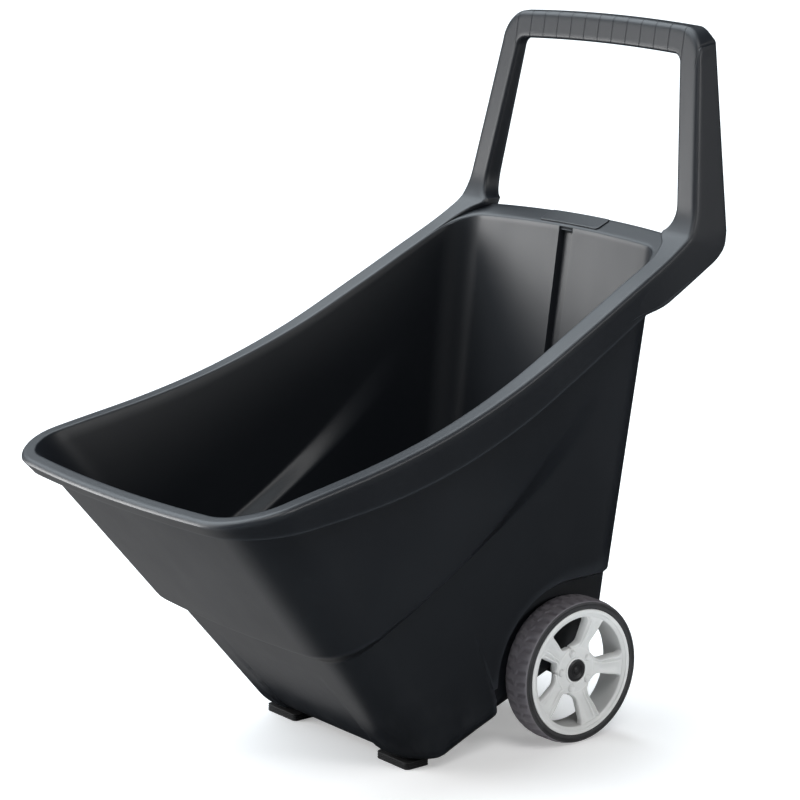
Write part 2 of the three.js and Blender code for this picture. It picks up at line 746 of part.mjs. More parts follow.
/** Corners of the handle's section at each station of the right half, knee first. */
function handleHalf() {
  const at = ([x, z], y) => new THREE.Vector3(x, y, z);
  const innerFoot = RIM_REAR_HALF - LEG_WIDTH;
  const front = loopEdge(RIM_REAR_HALF, HANDLE_TOP_Z, CORNER_FRONT_RADIUS);
  const back = loopEdge(RIM_REAR_HALF, HANDLE_TOP_Z, CORNER_BACK_RADIUS);
  const inner = loopEdge(innerFoot, HANDLE_TOP_Z - GRIP_HEIGHT, CORNER_INNER_RADIUS);
  const loop = front.map((edge, i) => {
    const [xi, zi] = inner[i];
    const share = clamp((zi - TUB_HEIGHT) / (HANDLE_RISE - GRIP_HEIGHT), 0, 1);
    return {
      front: at(edge, handleFront(edge[1])),
      back: at(back[i], handleBack(back[i][1])),
      inner: at([xi, zi], handleFront(zi)),
      lip: at([xi, zi], handleFront(zi) + lerp(LIP_FOOT_DEPTH, LIP_TOP_DEPTH, share)),
    };
  });
  const [footY, footZ] = [handleFront(TUB_HEIGHT), TUB_HEIGHT];
  const knee = (y, z, yBack, zBack, width) => {
    const x = Math.min(rimHalf(footY + y), RIM_REAR_HALF + 1);
    return {
      front: at([x, footZ + z], footY + y),
      back: at([x, footZ + zBack], footY + yBack),
      inner: at([x - width, footZ + z], footY + y),
      lip: at([x - width, footZ + zBack], footY + yBack),
    };
  };
  const toe = -KNEE_DROP;
  return [
    knee(-74, 0.52 * toe, -48, toe, WALL),
    knee(-40, 0.32 * toe, -12, 0.74 * toe, WALL),
    knee(-16, 0.18 * toe, 16, 0.54 * toe, WALL),
    knee(-6, 0.08 * toe, 36, 0.4 * toe, WALL),
    knee(-2, 0.04 * toe, LEG_FOOT_DEPTH - 6, 0.26 * toe, WALL),
    knee(0, 0, LEG_FOOT_DEPTH - 1, 0.12 * toe, LEG_WIDTH),
    ...loop,
  ];
}

/** Stations of the whole handle, from the right knee over the grip to the left one. */
function handleStations() {
  const right = handleHalf();
  const flip = (p) => new THREE.Vector3(-p.x, p.y, p.z);
  const flipped = (s) => ({ front: flip(s.front), back: flip(s.back), inner: flip(s.inner), lip: flip(s.lip) });
  return [...right, ...right.slice(0, -1).reverse().map(flipped)];
}

/** A point of a handle section: t runs from the outer side to the inner, s from front to back. */
function handlePoint(station, t, s) {
  const front = station.front.clone().lerp(station.inner, t);
  return front.lerp(station.back.clone().lerp(station.lip, t), s);
}

/** Shares of a handle section that stand for given distances across and along it. */
function handleShares(station) {
  const width = station.front.distanceTo(station.inner);
  const depth = station.front.distanceTo(station.back);
  const lipDepth = station.inner.distanceTo(station.lip);
  return { across: (d) => d / width, along: (d) => d / depth, alongLip: (d) => d / lipDepth };
}

/** The handle's filled outer form. */
function handleForm() {
  const sections = handleStations().map((station) => {
    const { across, along, alongLip } = handleShares(station);
    const edge = Math.min(HANDLE_EDGE, 0.3 / across(1));
    const onGrip = station.back.z > HANDLE_TOP_Z - GRIP_ARCH - 2;
    const backEdge = onGrip ? GRIP_BACK_EDGE : 1.2;
    return [
      handlePoint(station, 0, 1 - along(backEdge)),
      handlePoint(station, 0, along(edge)),
      handlePoint(station, across(0.3 * edge), along(0.3 * edge)),
      handlePoint(station, across(edge), 0),
      handlePoint(station, 1 - across(0.7 * edge), 0),
      handlePoint(station, 1, alongLip(0.7 * edge)),
      handlePoint(station, 1, 1),
      handlePoint(station, across(Math.min(backEdge, WALL - 1)), 1),
      handlePoint(station, across(0.3 * Math.min(backEdge, WALL)), 1 - along(0.3 * backEdge)),
    ];
  });
  return solidOf(loftOfSections(sections));
}

/** The handle's hollows between the cross ribs, open to the back behind a return lip. */
function handleHollows() {
  const all = handleStations();
  const first = KNEE_STATIONS;
  const last = all.length - 1 - first;
  const blend = (s) => {
    const i = Math.min(Math.floor(s), all.length - 2);
    const mix = (key) => all[i][key].clone().lerp(all[i + 1][key], s - i);
    return { front: mix("front"), back: mix("back"), inner: mix("inner"), lip: mix("lip") };
  };
  const section = (s) => {
    const station = blend(s);
    const { across, along, alongLip } = handleShares(station);
    const [outer, inner] = [across(WALL), 1 - across(WALL)];
    const lip = across(WALL + RETURN_LIP);
    return [
      handlePoint(station, inner, alongLip(WALL)),
      handlePoint(station, outer, along(WALL)),
      handlePoint(station, outer, 1 - along(WALL)),
      handlePoint(station, lip, 1 - along(WALL)),
      handlePoint(station, lip, 1.6),
      handlePoint(station, inner, 2.2),
    ];
  };
  const hollows = [];
  for (let s = first; s < last; s++) {
    const margin = RIB / 2 / all[s].front.distanceTo(all[s + 1].front);
    if (margin < 0.25) hollows.push(solidOf(loftOfSections([section(s + margin), section(s + 1 - margin)])));
  }
  return hollows;
}

/** The deep notches across the top of the grip. */
function gripNotches() {
  return [-1.5, -0.5, 0.5, 1.5].map((k) => {
    const x = k * GRIP_NOTCH_PITCH;
    const top = HANDLE_TOP_Z - GRIP_ARCH * (x / RIM_REAR_HALF) ** 2;
    const box = new THREE.BoxGeometry(GRIP_NOTCH_WIDTH, 14, 2 * GRIP_NOTCH_DEPTH);
    box.translate(x, GRIP_BACK_Y - 14, top);
    return solidOf(box);
  });
}

/** The root of a leg: a wedge that rises out of the rim's corner, with a fillet on its inner side. */
function legRoot(side) {
  const outer = RIM_REAR_HALF - 1;
  const inner = RIM_REAR_HALF - LEG_WIDTH;
  const back = handleFront(TUB_HEIGHT) + LIP_FOOT_DEPTH;
  const section = (y, z, fillet) => {
    const edge = inner - LEG_TAPER * Math.max(z - TUB_HEIGHT, 0) - fillet;
    const shoulder = outer - LEG_TAPER * Math.max(z - TUB_HEIGHT, 0);
    return [
      new THREE.Vector3(side * shoulder, y, z),
      new THREE.Vector3(side * edge, y, z),
      new THREE.Vector3(side * edge, back, z),
      new THREE.Vector3(side * shoulder, back, z),
    ];
  };
  const foot = handleFront(TUB_HEIGHT);
  const ramp = [
    [-40, -KNEE_DROP / 2, -0.4],
    [-16, -15, 0.2],
    [-5, -6, 0.8],
    [-2, 0, 1],
  ].map(([y, z, share]) => section(foot + y, TUB_HEIGHT + z, share * KNEE_RADIUS));
  const rounded = [15, 30, 45, 60, 75, 90].map((degrees) => {
    const angle = THREE.MathUtils.degToRad(degrees);
    const z = TUB_HEIGHT + KNEE_RADIUS * Math.sin(angle);
    return section(handleFront(z) + 0.2, z, KNEE_RADIUS * (1 - Math.sin(angle)) - 1);
  });
  return solidOf(loftOfSections([...ramp, ...rounded]));
}

/** Handle with its knees and roots, hollowed and notched. */
function handle() {
  const cuts = [...handleHollows(), ...gripNotches()];
  const open = cuts.reduce((solid, cut) => solid.subtract(cut), handleForm());
  return union([open, legRoot(1), legRoot(-1)]);
}

/** The whole moulding. */
function tub() {
  const envelope = tubEnvelope();
  const sunk = [
    [arches(ARCH_X, 0), arches(ARCH_X - WALL, WALL)],
    [frontRecess(0), frontRecess(WALL)],
    [axleChannel(0), axleChannel(WALL)],
  ];
  const linings = sunk.map(([, grown]) => grown.intersect(envelope));
  let body = union([tubShell(), ...linings, rearGroove(WALL, GROOVE_DEPTH, 0), clampBosses(), handle()]);
  for (const [cut] of sunk) body = body.subtract(cut);
  for (const cut of [rearGroove(0, GROOVE_DEPTH, 20), clampPilots(), footHoles()]) body = body.subtract(cut);
  return geometryOf(body);
}

// ---------------------------------------------------------------- wheels and axle

/** Tyre: a thick band with rounded shoulders. */
function tyre() {
  const seat = RIM_OUTER_RADIUS + GAP;
  const [x0, x1] = [WHEEL_INNER_FACE, WHEEL_OUTER_FACE];
  const ledge = RIM_OUTER_RADIUS + RIM_LIP + GAP;
  return latheX(
    [
      [seat, x0 + 1],
      [seat + 2, x0],
      [WHEEL_RADIUS - TYRE_SHOULDER, x0],
      [WHEEL_RADIUS - 0.4 * TYRE_SHOULDER, x0 + 0.4 * TYRE_SHOULDER],
      [WHEEL_RADIUS, x0 + 2.5 * TYRE_SHOULDER],
      [WHEEL_RADIUS, x1 - 2.5 * TYRE_SHOULDER],
      [WHEEL_RADIUS - 0.4 * TYRE_SHOULDER, x1 - 0.4 * TYRE_SHOULDER],
      [WHEEL_RADIUS - TYRE_SHOULDER, x1],
      [ledge + 0.5, x1],
      [ledge, x1 - 3],
      [seat, x1 - 3],
    ],
    TYRE_SIDES,
  );
}

/** One spoke, from the hub out to the barrel, dished towards the hub. */
function spoke(index) {
  const angle = SPOKE_TURN + (index / SPOKE_COUNT) * 2 * Math.PI;
  const section = (r, half, x) => [
    new THREE.Vector3(x - SPOKE_THICKNESS, r, -half),
    new THREE.Vector3(x, r, -half * 0.8),
    new THREE.Vector3(x, r, half * 0.8),
    new THREE.Vector3(x - SPOKE_THICKNESS, r, half),
  ];
  const tip = RIM_OUTER_RADIUS - RIM_SHELL + 1;
  const geometry = loftOfSections([
    section(HUB_RADIUS - 2, SPOKE_ROOT_WIDTH / 2, HUB_FACE),
    section(lerp(HUB_RADIUS, tip, 0.5), lerp(SPOKE_ROOT_WIDTH, SPOKE_TIP_WIDTH, 0.4) / 2, HUB_FACE + 3.5),
    section(tip, SPOKE_TIP_WIDTH / 2, WHEEL_OUTER_FACE - 4),
  ]);
  geometry.rotateX(angle);
  geometry.translate(0, AXLE_Y, AXLE_Z);
  return solidOf(geometry);
}

/** Silver wheel rim: barrel with an outer flange, five spokes and a hub with a cap pocket. */
function wheelRim() {
  const barrelInner = RIM_OUTER_RADIUS - RIM_SHELL;
  const barrel = latheX(
    [
      [barrelInner, WHEEL_INNER_FACE + 1],
      [RIM_OUTER_RADIUS, WHEEL_INNER_FACE + 1],
      [RIM_OUTER_RADIUS, WHEEL_OUTER_FACE - 3 + GAP],
      [RIM_OUTER_RADIUS + RIM_LIP, WHEEL_OUTER_FACE - 3 + GAP],
      [RIM_OUTER_RADIUS + RIM_LIP, WHEEL_OUTER_FACE - 0.8],
      [RIM_OUTER_RADIUS + RIM_LIP - 1, WHEEL_OUTER_FACE],
      [barrelInner + 1.5, WHEEL_OUTER_FACE],
      [barrelInner, WHEEL_OUTER_FACE - 2],
    ],
    TYRE_SIDES,
  );
  const bore = boreRadius(BUSH_RADIUS, GAP);
  const pocket = boreRadius(CAP_RADIUS, GAP);
  const hub = latheX(
    [
      [bore, WHEEL_INNER_FACE + 2 + GAP],
      [HUB_RADIUS - 4, WHEEL_INNER_FACE + 2 + GAP],
      [HUB_RADIUS, HUB_FACE - SPOKE_THICKNESS],
      [HUB_RADIUS, HUB_FACE - 1],
      [HUB_RADIUS - 1, HUB_FACE],
      [pocket, HUB_FACE],
      [pocket, CAP_BASE - GAP],
      [bore, CAP_BASE - GAP],
    ],
    ROUND_SIDES,
  );
  const spokes = Array.from({ length: SPOKE_COUNT }, (_, i) => spoke(i));
  const centre = solidOf(bar(HUB_RADIUS - 3, WHEEL_INNER_FACE + 1, HUB_FACE + 1));
  const arms = union(spokes).subtract(centre);
  return geometryOf(union([solidOf(barrel), solidOf(hub), arms]));
}

/** Plain bush between the hub and the axle, flanged on the inner side. */
function hubBush() {
  const bore = boreRadius(AXLE_RADIUS, RUNNING_CLEARANCE);
  return latheX(
    [
      [bore, WHEEL_INNER_FACE],
      [BUSH_FLANGE, WHEEL_INNER_FACE],
      [BUSH_FLANGE, WHEEL_INNER_FACE + 2],
      [BUSH_RADIUS, WHEEL_INNER_FACE + 2],
      [BUSH_RADIUS, CAP_BASE - GAP],
      [bore, CAP_BASE - GAP],
    ],
    ROUND_SIDES,
  );
}

/** Flat ring on the axle. */
function ringOnAxle(radius, x0, x1) {
  const bore = boreRadius(AXLE_RADIUS, RUNNING_CLEARANCE);
  return latheX(
    [
      [bore, x0],
      [radius, x0],
      [radius, x1],
      [bore, x1],
    ],
    ROUND_SIDES,
  );
}

/** Domed push nut that grips the axle's end. */
function pushNut(x0) {
  const bore = boreRadius(AXLE_RADIUS, RUNNING_CLEARANCE);
  return latheX(
    [
      [bore, x0 + 0.8],
      [PUSH_NUT_RADIUS, x0],
      [PUSH_NUT_RADIUS, x0 + 0.8],
      [bore + 2, x0 + PUSH_NUT_THICKNESS],
      [bore, x0 + PUSH_NUT_THICKNESS],
    ],
    ROUND_SIDES,
  );
}

/** Hollow hub cap over the axle's end. */
function hubCap() {
  const face = HUB_FACE + CAP_PROUD;
  const inner = CAP_RADIUS - 1.5;
  return solidOf(
    latheX(
      [
        [inner, CAP_BASE],
        [CAP_RADIUS, CAP_BASE],
        [CAP_RADIUS, face - 2],
        [CAP_RADIUS - 2, face],
        [CAP_RADIUS - 6, face],
        [CAP_RADIUS - 6, face - 2],
        [inner, face - 2],
      ],
      ROUND_SIDES,
    ),
  ).add(solidOf(bar(CAP_RADIUS - 5, face - 2, face - 0.5)));
}

const WASHER_START = CAP_BASE;
const PUSH_NUT_START = WASHER_START + WASHER_THICKNESS + GAP;
const AXLE_END = PUSH_NUT_START + PUSH_NUT_THICKNESS + 1;

// ---------------------------------------------------------------- clamps, feet and badge

/** Cradle under the axle: a strap on two bosses with a saddle that fills the channel's mouth. */
function axleClamp(x) {
  const top = BOSS_END - GAP;
  const half = CLAMP_LENGTH / 2;
  const strap = solidOf(slopeBox(x, CLAMP_WIDTH, -half, half, top - CLAMP_THICKNESS, top));
  const saddleHalf = AXLE_RADIUS - 0.2;
  const saddle = solidOf(slopeBox(x, CLAMP_WIDTH, -saddleHalf, saddleHalf, top - 1, -1));
  const seat = solidOf(bar(boreRadius(AXLE_RADIUS, GAP), x - CLAMP_WIDTH, x + CLAMP_WIDTH));
  const holes = [-0.5, 0.5].map((side) =>
    solidOf(slopePin(SCREW_RADIUS + GAP, x, side * CLAMP_SCREW_SPACING, top - 20, top + 20, 12)),
  );
  return geometryOf(strap.add(saddle).subtract(seat).subtract(union(holes)));
}

/** A pan-head screw through a clamp at (x, u). */
function clampScrew(x, u) {
  const seat = BOSS_END - GAP - CLAMP_THICKNESS - GAP;
  const head = solidOf(slopePin(SCREW_HEAD_RADIUS, x, u, seat - SCREW_HEAD_HEIGHT, seat, 12));
  const shank = solidOf(slopePin(SCREW_RADIUS, x, u, seat - 0.5, seat + SCREW_LENGTH, 12));
  return geometryOf(head.add(shank));
}

/** Push-in rubber foot: a ribbed pad, a stem through the floor and a head above it. */
function foot(side) {
  const x = side * FOOT_OFFSET;
  const turn = (radius, z0, z1) => {
    const pin = new THREE.CylinderGeometry(radius, radius, z1 - z0, 16);
    pin.rotateX(Math.PI / 2);
    pin.translate(x, STEM_Y, (z0 + z1) / 2);
    return solidOf(pin);
  };
  const block = new THREE.BoxGeometry(FOOT_WIDTH, FOOT_LENGTH, FOOT_HEIGHT);
  block.translate(x, FOOT_Y, FOOT_HEIGHT / 2);
  const stemTop = FLOOR_Z + WALL + GAP;
  const pad = union([
    solidOf(block),
    turn(FOOT_STEM_RADIUS, FOOT_HEIGHT - 1, stemTop + 1),
    turn(FOOT_HEAD_RADIUS, stemTop, stemTop + 3),
  ]);
  return geometryOf(pad);
}

/** Blank badge plate that lies on the back of the rim. */
function badgePlate() {
  const steps = 6;
  const sections = Array.from({ length: steps + 1 }, (_, i) => {
    const x = lerp(-BADGE_WIDTH / 2, BADGE_WIDTH / 2, i / steps);
    const bow = RIM_REAR_BOW * (x / RIM_REAR_HALF) ** 2;
    const back = RIM_BACK_Y - bow - RIM_EDGE;
    const front = RIM_BACK_Y - bow - rimWidth(RIM_BACK_Y) + 3;
    const point = (y, lift) => new THREE.Vector3(x, y, rimZ(y) + lift);
    return [
      point(front, GAP),
      point(front, GAP + BADGE_THICKNESS),
      point(back, GAP + BADGE_THICKNESS),
      point(back, GAP),
    ];
  });
  return loftOfSections(sections);
}

// ---------------------------------------------------------------- assembly

addPiece("tub", tub(), PLASTIC_BODY);
addPiece("badge_plate", badgePlate(), PLASTIC_BODY);
addPiece("axle", bar(AXLE_RADIUS, -AXLE_END, AXLE_END), STEEL);
screwPlaces.forEach(([x, u], i) => addPiece(`clamp_screw_${i + 1}`, clampScrew(x, u), STEEL));

for (const [side, name] of [
  [1, "right"],
  [-1, "left"],
]) {
  const onSide = (geometry) => (side > 0 ? geometry : mirrored(geometry));
  addPiece(`axle_clamp_${name}`, axleClamp(side * CLAMP_OFFSET), PLASTIC_BLACK);
  addPiece(`foot_${name}`, foot(side), RUBBER_FOOT);
  const spacer = ringOnAxle(SPACER_RADIUS, ARCH_X + GAP, WHEEL_INNER_FACE - GAP);
  const washer = ringOnAxle(WASHER_RADIUS, WASHER_START, WASHER_START + WASHER_THICKNESS);
  addPiece(`wheel_spacer_${name}`, onSide(spacer), PLASTIC_BLACK);
  addPiece(`tyre_${name}`, onSide(tyre()), RUBBER_TYRE);
  addPiece(`wheel_rim_${name}`, onSide(wheelRim()), PLASTIC_SILVER);
  addPiece(`hub_bush_${name}`, onSide(hubBush()), PLASTIC_WHITE);
  addPiece(`axle_washer_${name}`, onSide(washer), STEEL);
  addPiece(`push_nut_${name}`, onSide(pushNut(PUSH_NUT_START)), STEEL);
  addPiece(`hub_cap_${name}`, onSide(geometryOf(hubCap())), PLASTIC_BLACK);
}

export default cart;
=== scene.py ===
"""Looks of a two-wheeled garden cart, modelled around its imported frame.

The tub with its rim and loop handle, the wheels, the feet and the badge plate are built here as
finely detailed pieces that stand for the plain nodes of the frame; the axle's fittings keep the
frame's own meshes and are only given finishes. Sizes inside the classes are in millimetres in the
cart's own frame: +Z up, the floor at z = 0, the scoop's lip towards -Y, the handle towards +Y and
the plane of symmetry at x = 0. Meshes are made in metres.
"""

from __future__ import annotations

import logging
import math
from contextlib import contextmanager
from dataclasses import dataclass, field
from enum import Enum
from typing import Iterable, Iterator, Sequence

import bpy
from mathutils import Euler, Matrix, Vector


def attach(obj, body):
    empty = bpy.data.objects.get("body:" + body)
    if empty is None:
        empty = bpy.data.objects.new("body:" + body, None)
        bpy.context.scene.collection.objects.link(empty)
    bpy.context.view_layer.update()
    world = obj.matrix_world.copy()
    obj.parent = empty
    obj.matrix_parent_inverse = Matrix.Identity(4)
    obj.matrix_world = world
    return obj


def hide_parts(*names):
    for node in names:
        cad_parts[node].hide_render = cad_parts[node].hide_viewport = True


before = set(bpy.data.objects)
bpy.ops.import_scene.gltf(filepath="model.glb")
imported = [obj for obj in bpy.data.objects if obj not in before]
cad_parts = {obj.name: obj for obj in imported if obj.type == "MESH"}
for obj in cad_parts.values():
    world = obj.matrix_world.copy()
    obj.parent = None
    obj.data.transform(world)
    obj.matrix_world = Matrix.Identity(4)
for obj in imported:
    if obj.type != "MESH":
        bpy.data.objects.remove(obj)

LOG = logging.getLogger("garden_cart")
MM = 0.001
WELD = 0.01

Piece = bpy.types.Object
Point = tuple[float, float, float]
Colour = tuple[float, float, float]
Profile = Sequence[tuple[float, float]]


# ---------------------------------------------------------------- numbers


def lerp(a: float, b: float, t: float) -> float:
    """Returns the value a share t of the way from a to b."""
    return a + (b - a) * t


def clamp(value: float, low: float = 0.0, high: float = 1.0) -> float:
    """Returns value held between low and high."""
    return max(low, min(high, value))


def smoothstep(value: float, low: float, high: float) -> float:
    """Returns a smooth rise from 0 at low to 1 at high."""
    t = clamp((value - low) / (high - low))
    return t * t * (3 - 2 * t)


def soft_min(value: float, limit: float, blend: float) -> float:
    """Returns the smaller of two values, rounded over where they are within blend of each other.

    Args:
        value: the value to hold back.
        limit: the value that it may not pass.
        blend: how wide the rounding is.
    """
    h = clamp(0.5 + 0.5 * (limit - value) / blend)
    return lerp(limit, value, h) - blend * h * (1 - h)


def spread(low: float, high: float, steps: int) -> list[float]:
    """Returns steps + 1 evenly spaced values from low to high."""
    return [lerp(low, high, i / steps) for i in range(steps + 1)]


def quarter(steps: int) -> list[tuple[float, float]]:
    """Returns what is left to 1 of the sine and of the cosine, along a quarter turn."""
    return [(1 - math.sin(angle), 1 - math.cos(angle)) for angle in spread(0, math.pi / 2, steps)]


@dataclass(frozen=True)
class SmoothCurve:
    """A smooth function through a few points, level beyond its ends."""

    points: tuple[tuple[float, float], ...]

    def slope(self, i: int) -> float:
        """Returns the curve's slope at its point i."""
        a = self.points[max(i - 1, 0)]
        b = self.points[min(i + 1, len(self.points) - 1)]
        return (b[1] - a[1]) / (b[0] - a[0])

    def __call__(self, x: float) -> float:
        """Returns the curve's value at x."""
        if x <= self.points[0][0]:
            return self.points[0][1]
        for i in range(1, len(self.points)):
            x1, y1 = self.points[i]
            if x <= x1:
                x0, y0 = self.points[i - 1]
                h = x1 - x0
                t = (x - x0) / h
                s = 1 - t
                ends = y0 * (1 + 2 * t) * s * s + y1 * (1 + 2 * s) * t * t
                return ends + h * t * s * (self.slope(i - 1) * s - self.slope(i) * t)
        return self.points[-1][1]


def spline_through(points: Sequence[Vector], steps: int) -> list[Vector]:
    """Samples a smooth path through points.

    Args:
        points: the points that the path passes.
        steps: samples on each stretch between two points.

    Returns:
        The samples, with the first and the last point.
    """
    path = []
    for i in range(len(points) - 1):
        a, b = points[i], points[i + 1]
        before = points[i - 1] if i else a - (b - a)
        after = points[i + 2] if i + 2 < len(points) else b + (b - a)
        for k in range(steps):
            t = k / steps
            m0, m1 = (b - before) / 2, (after - a) / 2
            path.append(
                a * (2 * t**3 - 3 * t**2 + 1)
                + m0 * (t**3 - 2 * t**2 + t)
                + b * (3 * t**2 - 2 * t**3)
                + m1 * (t**3 - t**2)
            )
    return [*path, points[-1].copy()]


# ---------------------------------------------------------------- modelling


class Combine(Enum):
    """What a boolean does with its tool."""

    JOIN = "UNION"
    CUT = "DIFFERENCE"


def deselect_all() -> None:
    """Leaves object mode with nothing selected."""
    if bpy.context.object and bpy.context.object.mode != "OBJECT":
        bpy.ops.object.mode_set(mode="OBJECT")
    bpy.ops.object.select_all(action="DESELECT")


def activate(piece: Piece) -> None:
    """Makes piece the only selected and the active object."""
    deselect_all()
    piece.select_set(True)
    bpy.context.view_layer.objects.active = piece


@contextmanager
def editing(piece: Piece) -> Iterator[None]:
    """Stays in edit mode on one piece, which is selected all over at the start."""
    activate(piece)
    bpy.ops.object.mode_set(mode="EDIT")
    bpy.ops.mesh.select_mode(type="VERT")
    bpy.ops.mesh.select_all(action="SELECT")
    yield
    bpy.ops.object.mode_set(mode="OBJECT")


def named(name: str) -> Piece:
    """Names the active object and its mesh, and returns it."""
    piece = bpy.context.object
    piece.name = name
    piece.data.name = name
    return piece


def settle(piece: Piece) -> Piece:
    """Moves a piece's place into its mesh, so that its object sits at the origin."""
    activate(piece)
    bpy.ops.object.transform_apply(location=True, rotation=True, scale=True)
    return piece


def closed_up(piece: Piece, weld: float = WELD, fill: bool = False) -> Piece:
    """Welds a mesh's doubled points and turns its faces outwards.

    Args:
        piece: the object.
        weld: points closer than this, in millimetres, become one.
        fill: whether open ends are closed with a face.

    Returns:
        The piece.
    """
    with editing(piece):
        bpy.ops.mesh.remove_doubles(threshold=weld * MM)
        if fill:
            bpy.ops.mesh.fill_holes(sides=0)
            bpy.ops.mesh.select_all(action="SELECT")
        bpy.ops.mesh.normals_make_consistent(inside=False)
    return piece


def apply_modifier(piece: Piece, kind: str, **settings: object) -> None:
    """Adds a modifier with its settings to a piece and applies it."""
    activate(piece)
    modifier = piece.modifiers.new(kind.title(), kind)
    for key, value in settings.items():
        setattr(modifier, key, value)
    bpy.ops.object.modifier_apply(modifier=modifier.name)


def smooth(piece: Piece, degrees: float) -> Piece:
    """Shades a piece smooth, apart from edges sharper than an angle."""
    activate(piece)
    bpy.ops.object.shade_smooth_by_angle(angle=math.radians(degrees))
    return piece


def bevelled(piece: Piece, width: float, degrees: float = 35) -> Piece:
    """Rounds a piece's sharp edges.

    Args:
        piece: the object.
        width: the rounding's width in millimetres.
        degrees: edges that turn by more than this are rounded.

    Returns:
        The piece.
    """
    apply_modifier(
        piece,
        "BEVEL",
        width=width * MM,
        segments=3,
        limit_method="ANGLE",
        angle_limit=math.radians(degrees),
        harden_normals=False,
    )
    return piece


def joined(pieces: Sequence[Piece], name: str) -> Piece:
    """Joins objects into one that carries a name."""
    deselect_all()
    for piece in pieces:
        piece.select_set(True)
    bpy.context.view_layer.objects.active = pieces[0]
    bpy.ops.object.join()
    return named(name)


def boolean(piece: Piece, tool: Piece, kind: Combine) -> None:
    """Joins a tool onto a piece or cuts it away, and uses the tool up."""
    apply_modifier(piece, "BOOLEAN", object=tool, operation=kind.value, solver="EXACT")
    bpy.data.objects.remove(tool, do_unlink=True)


def mirrored(piece: Piece, name: str) -> Piece:
    """Copies a piece with its own mesh to the other side of the plane x = 0."""
    twin = piece.copy()
    twin.data = piece.data.copy()
    twin.name = name
    twin.data.name = name
    bpy.context.collection.objects.link(twin)
    twin.data.transform(Matrix.Scale(-1, 4, Vector((1, 0, 0))))
    with editing(twin):
        bpy.ops.mesh.flip_normals()
    return twin


def rod(name: str, radius: float, middle: Point, length: float) -> Piece:
    """Adds an upright cylinder primitive, with its sizes in millimetres.

    Args:
        name: the object's name.
        radius: its radius.
        middle: where its middle lies.
        length: its height.

    Returns:
        The rod.
    """
    deselect_all()
    bpy.ops.mesh.primitive_cylinder_add(
        vertices=32, radius=radius * MM, depth=length * MM, location=Vector(middle) * MM
    )
    return settle(named(name))


def ring_of(name: str, corners: Sequence[Vector], filled: bool = False) -> Piece:
    """Bends a circle primitive into an outline.

    Args:
        name: the object's name.
        corners: the outline's corners in millimetres.
        filled: whether it carries a face.

    Returns:
        The outline.
    """
    deselect_all()
    fill_type = "NGON" if filled else "NOTHING"
    bpy.ops.mesh.primitive_circle_add(vertices=len(corners), radius=1, fill_type=fill_type)
    ring = named(name)
    for vert, corner in zip(ring.data.vertices, corners):
        vert.co = corner * MM
    return ring


def sheet_of(name: str, columns: Sequence[Sequence[Vector]], closed: bool) -> Piece:
    """Lays a grid primitive over columns of points.

    Args:
        name: the object's name.
        columns: columns of points in millimetres, all of one length.
        closed: whether the last column is joined to the first.

    Returns:
        The sheet.
    """
    wide, high = len(columns) + closed, len(columns[0])
    deselect_all()
    bpy.ops.mesh.primitive_grid_add(x_subdivisions=wide - 1, y_subdivisions=high - 1, size=2)
    sheet = named(name)
    for vert in sheet.data.vertices:
        column = round((vert.co.x + 1) / 2 * (wide - 1)) % len(columns)
        row = round((vert.co.y + 1) / 2 * (high - 1))
        vert.co = columns[column][row] * MM
    with editing(sheet):
        bpy.ops.mesh.remove_doubles(threshold=WELD * MM)
    return sheet


def faces_towards(piece: Piece, spot: Vector, direction: Vector) -> None:
    """Turns a sheet's normals so that the face nearest to a spot looks in a direction."""
    mesh = piece.data
    nearest = min(mesh.polygons, key=lambda face: (face.center / MM - spot).length)
    if nearest.normal.dot(direction) < 0:
        with editing(piece):
            bpy.ops.mesh.flip_normals()


def spun(name: str, profile: Profile, centre: tuple[float, float], steps: int) -> Piece:
    """Spins a closed profile about an axis along X.

    Args:
        name: the object's name.
        profile: [radius, x] points in millimetres of a closed outline.
        centre: the axis's y and z in millimetres.
        steps: segments around.

    Returns:
        The ring, facing outwards.
    """
    ring = ring_of(name, [Vector((x, centre[0] + radius, centre[1])) for radius, x in profile])
    with editing(ring):
        bpy.ops.mesh.spin(
            steps=steps,
            angle=2 * math.pi,
            center=Vector((0, *centre)) * MM,
            axis=(1, 0, 0),
            use_auto_merge=True,
        )
    return closed_up(ring)


# ---------------------------------------------------------------- shader building


class Value:
    """A number socket of a shader tree, with the arithmetic that adds Math nodes."""

    def __init__(self, tree: "Tree", socket: bpy.types.NodeSocket) -> None:
        """Wraps one output socket."""
        self.tree = tree
        self.socket = socket

    def _math(self, operation: str, first: object, second: object = 0.0) -> "Value":
        """Returns a Math node's result."""
        return self.tree.add("ShaderNodeMath", {"operation": operation}, {0: first, 1: second}).value()

    def __add__(self, other: object) -> "Value":
        """Returns self + other."""
        return self._math("ADD", self, other)

    def __radd__(self, other: object) -> "Value":
        """Returns other + self."""
        return self._math("ADD", other, self)

    def __sub__(self, other: object) -> "Value":
        """Returns self - other."""
        return self._math("SUBTRACT", self, other)

    def __rsub__(self, other: object) -> "Value":
        """Returns other - self."""
        return self._math("SUBTRACT", other, self)

    def __mul__(self, other: object) -> "Value":
        """Returns self * other."""
        return self._math("MULTIPLY", self, other)

    def __rmul__(self, other: object) -> "Value":
        """Returns other * self."""
        return self._math("MULTIPLY", other, self)

    def wrapped(self, period: float) -> "Value":
        """Returns the distance to the nearest multiple of a period."""
        return self._math("PINGPONG", self, period / 2)

    def below(self, limit: float, blend: float) -> "Value":
        """Returns 1 well below a limit and 0 above it, with a smooth turn between."""
        return self.above(limit, -blend)

    def above(self, limit: float, blend: float) -> "Value":
        """Returns 0 below a limit and 1 well above it, with a smooth turn between."""
        settings = {"interpolation_type": "SMOOTHSTEP"}
        inputs = {"Value": self, "From Min": limit, "From Max": limit + blend}
        return self.tree.add("ShaderNodeMapRange", settings, inputs).value()


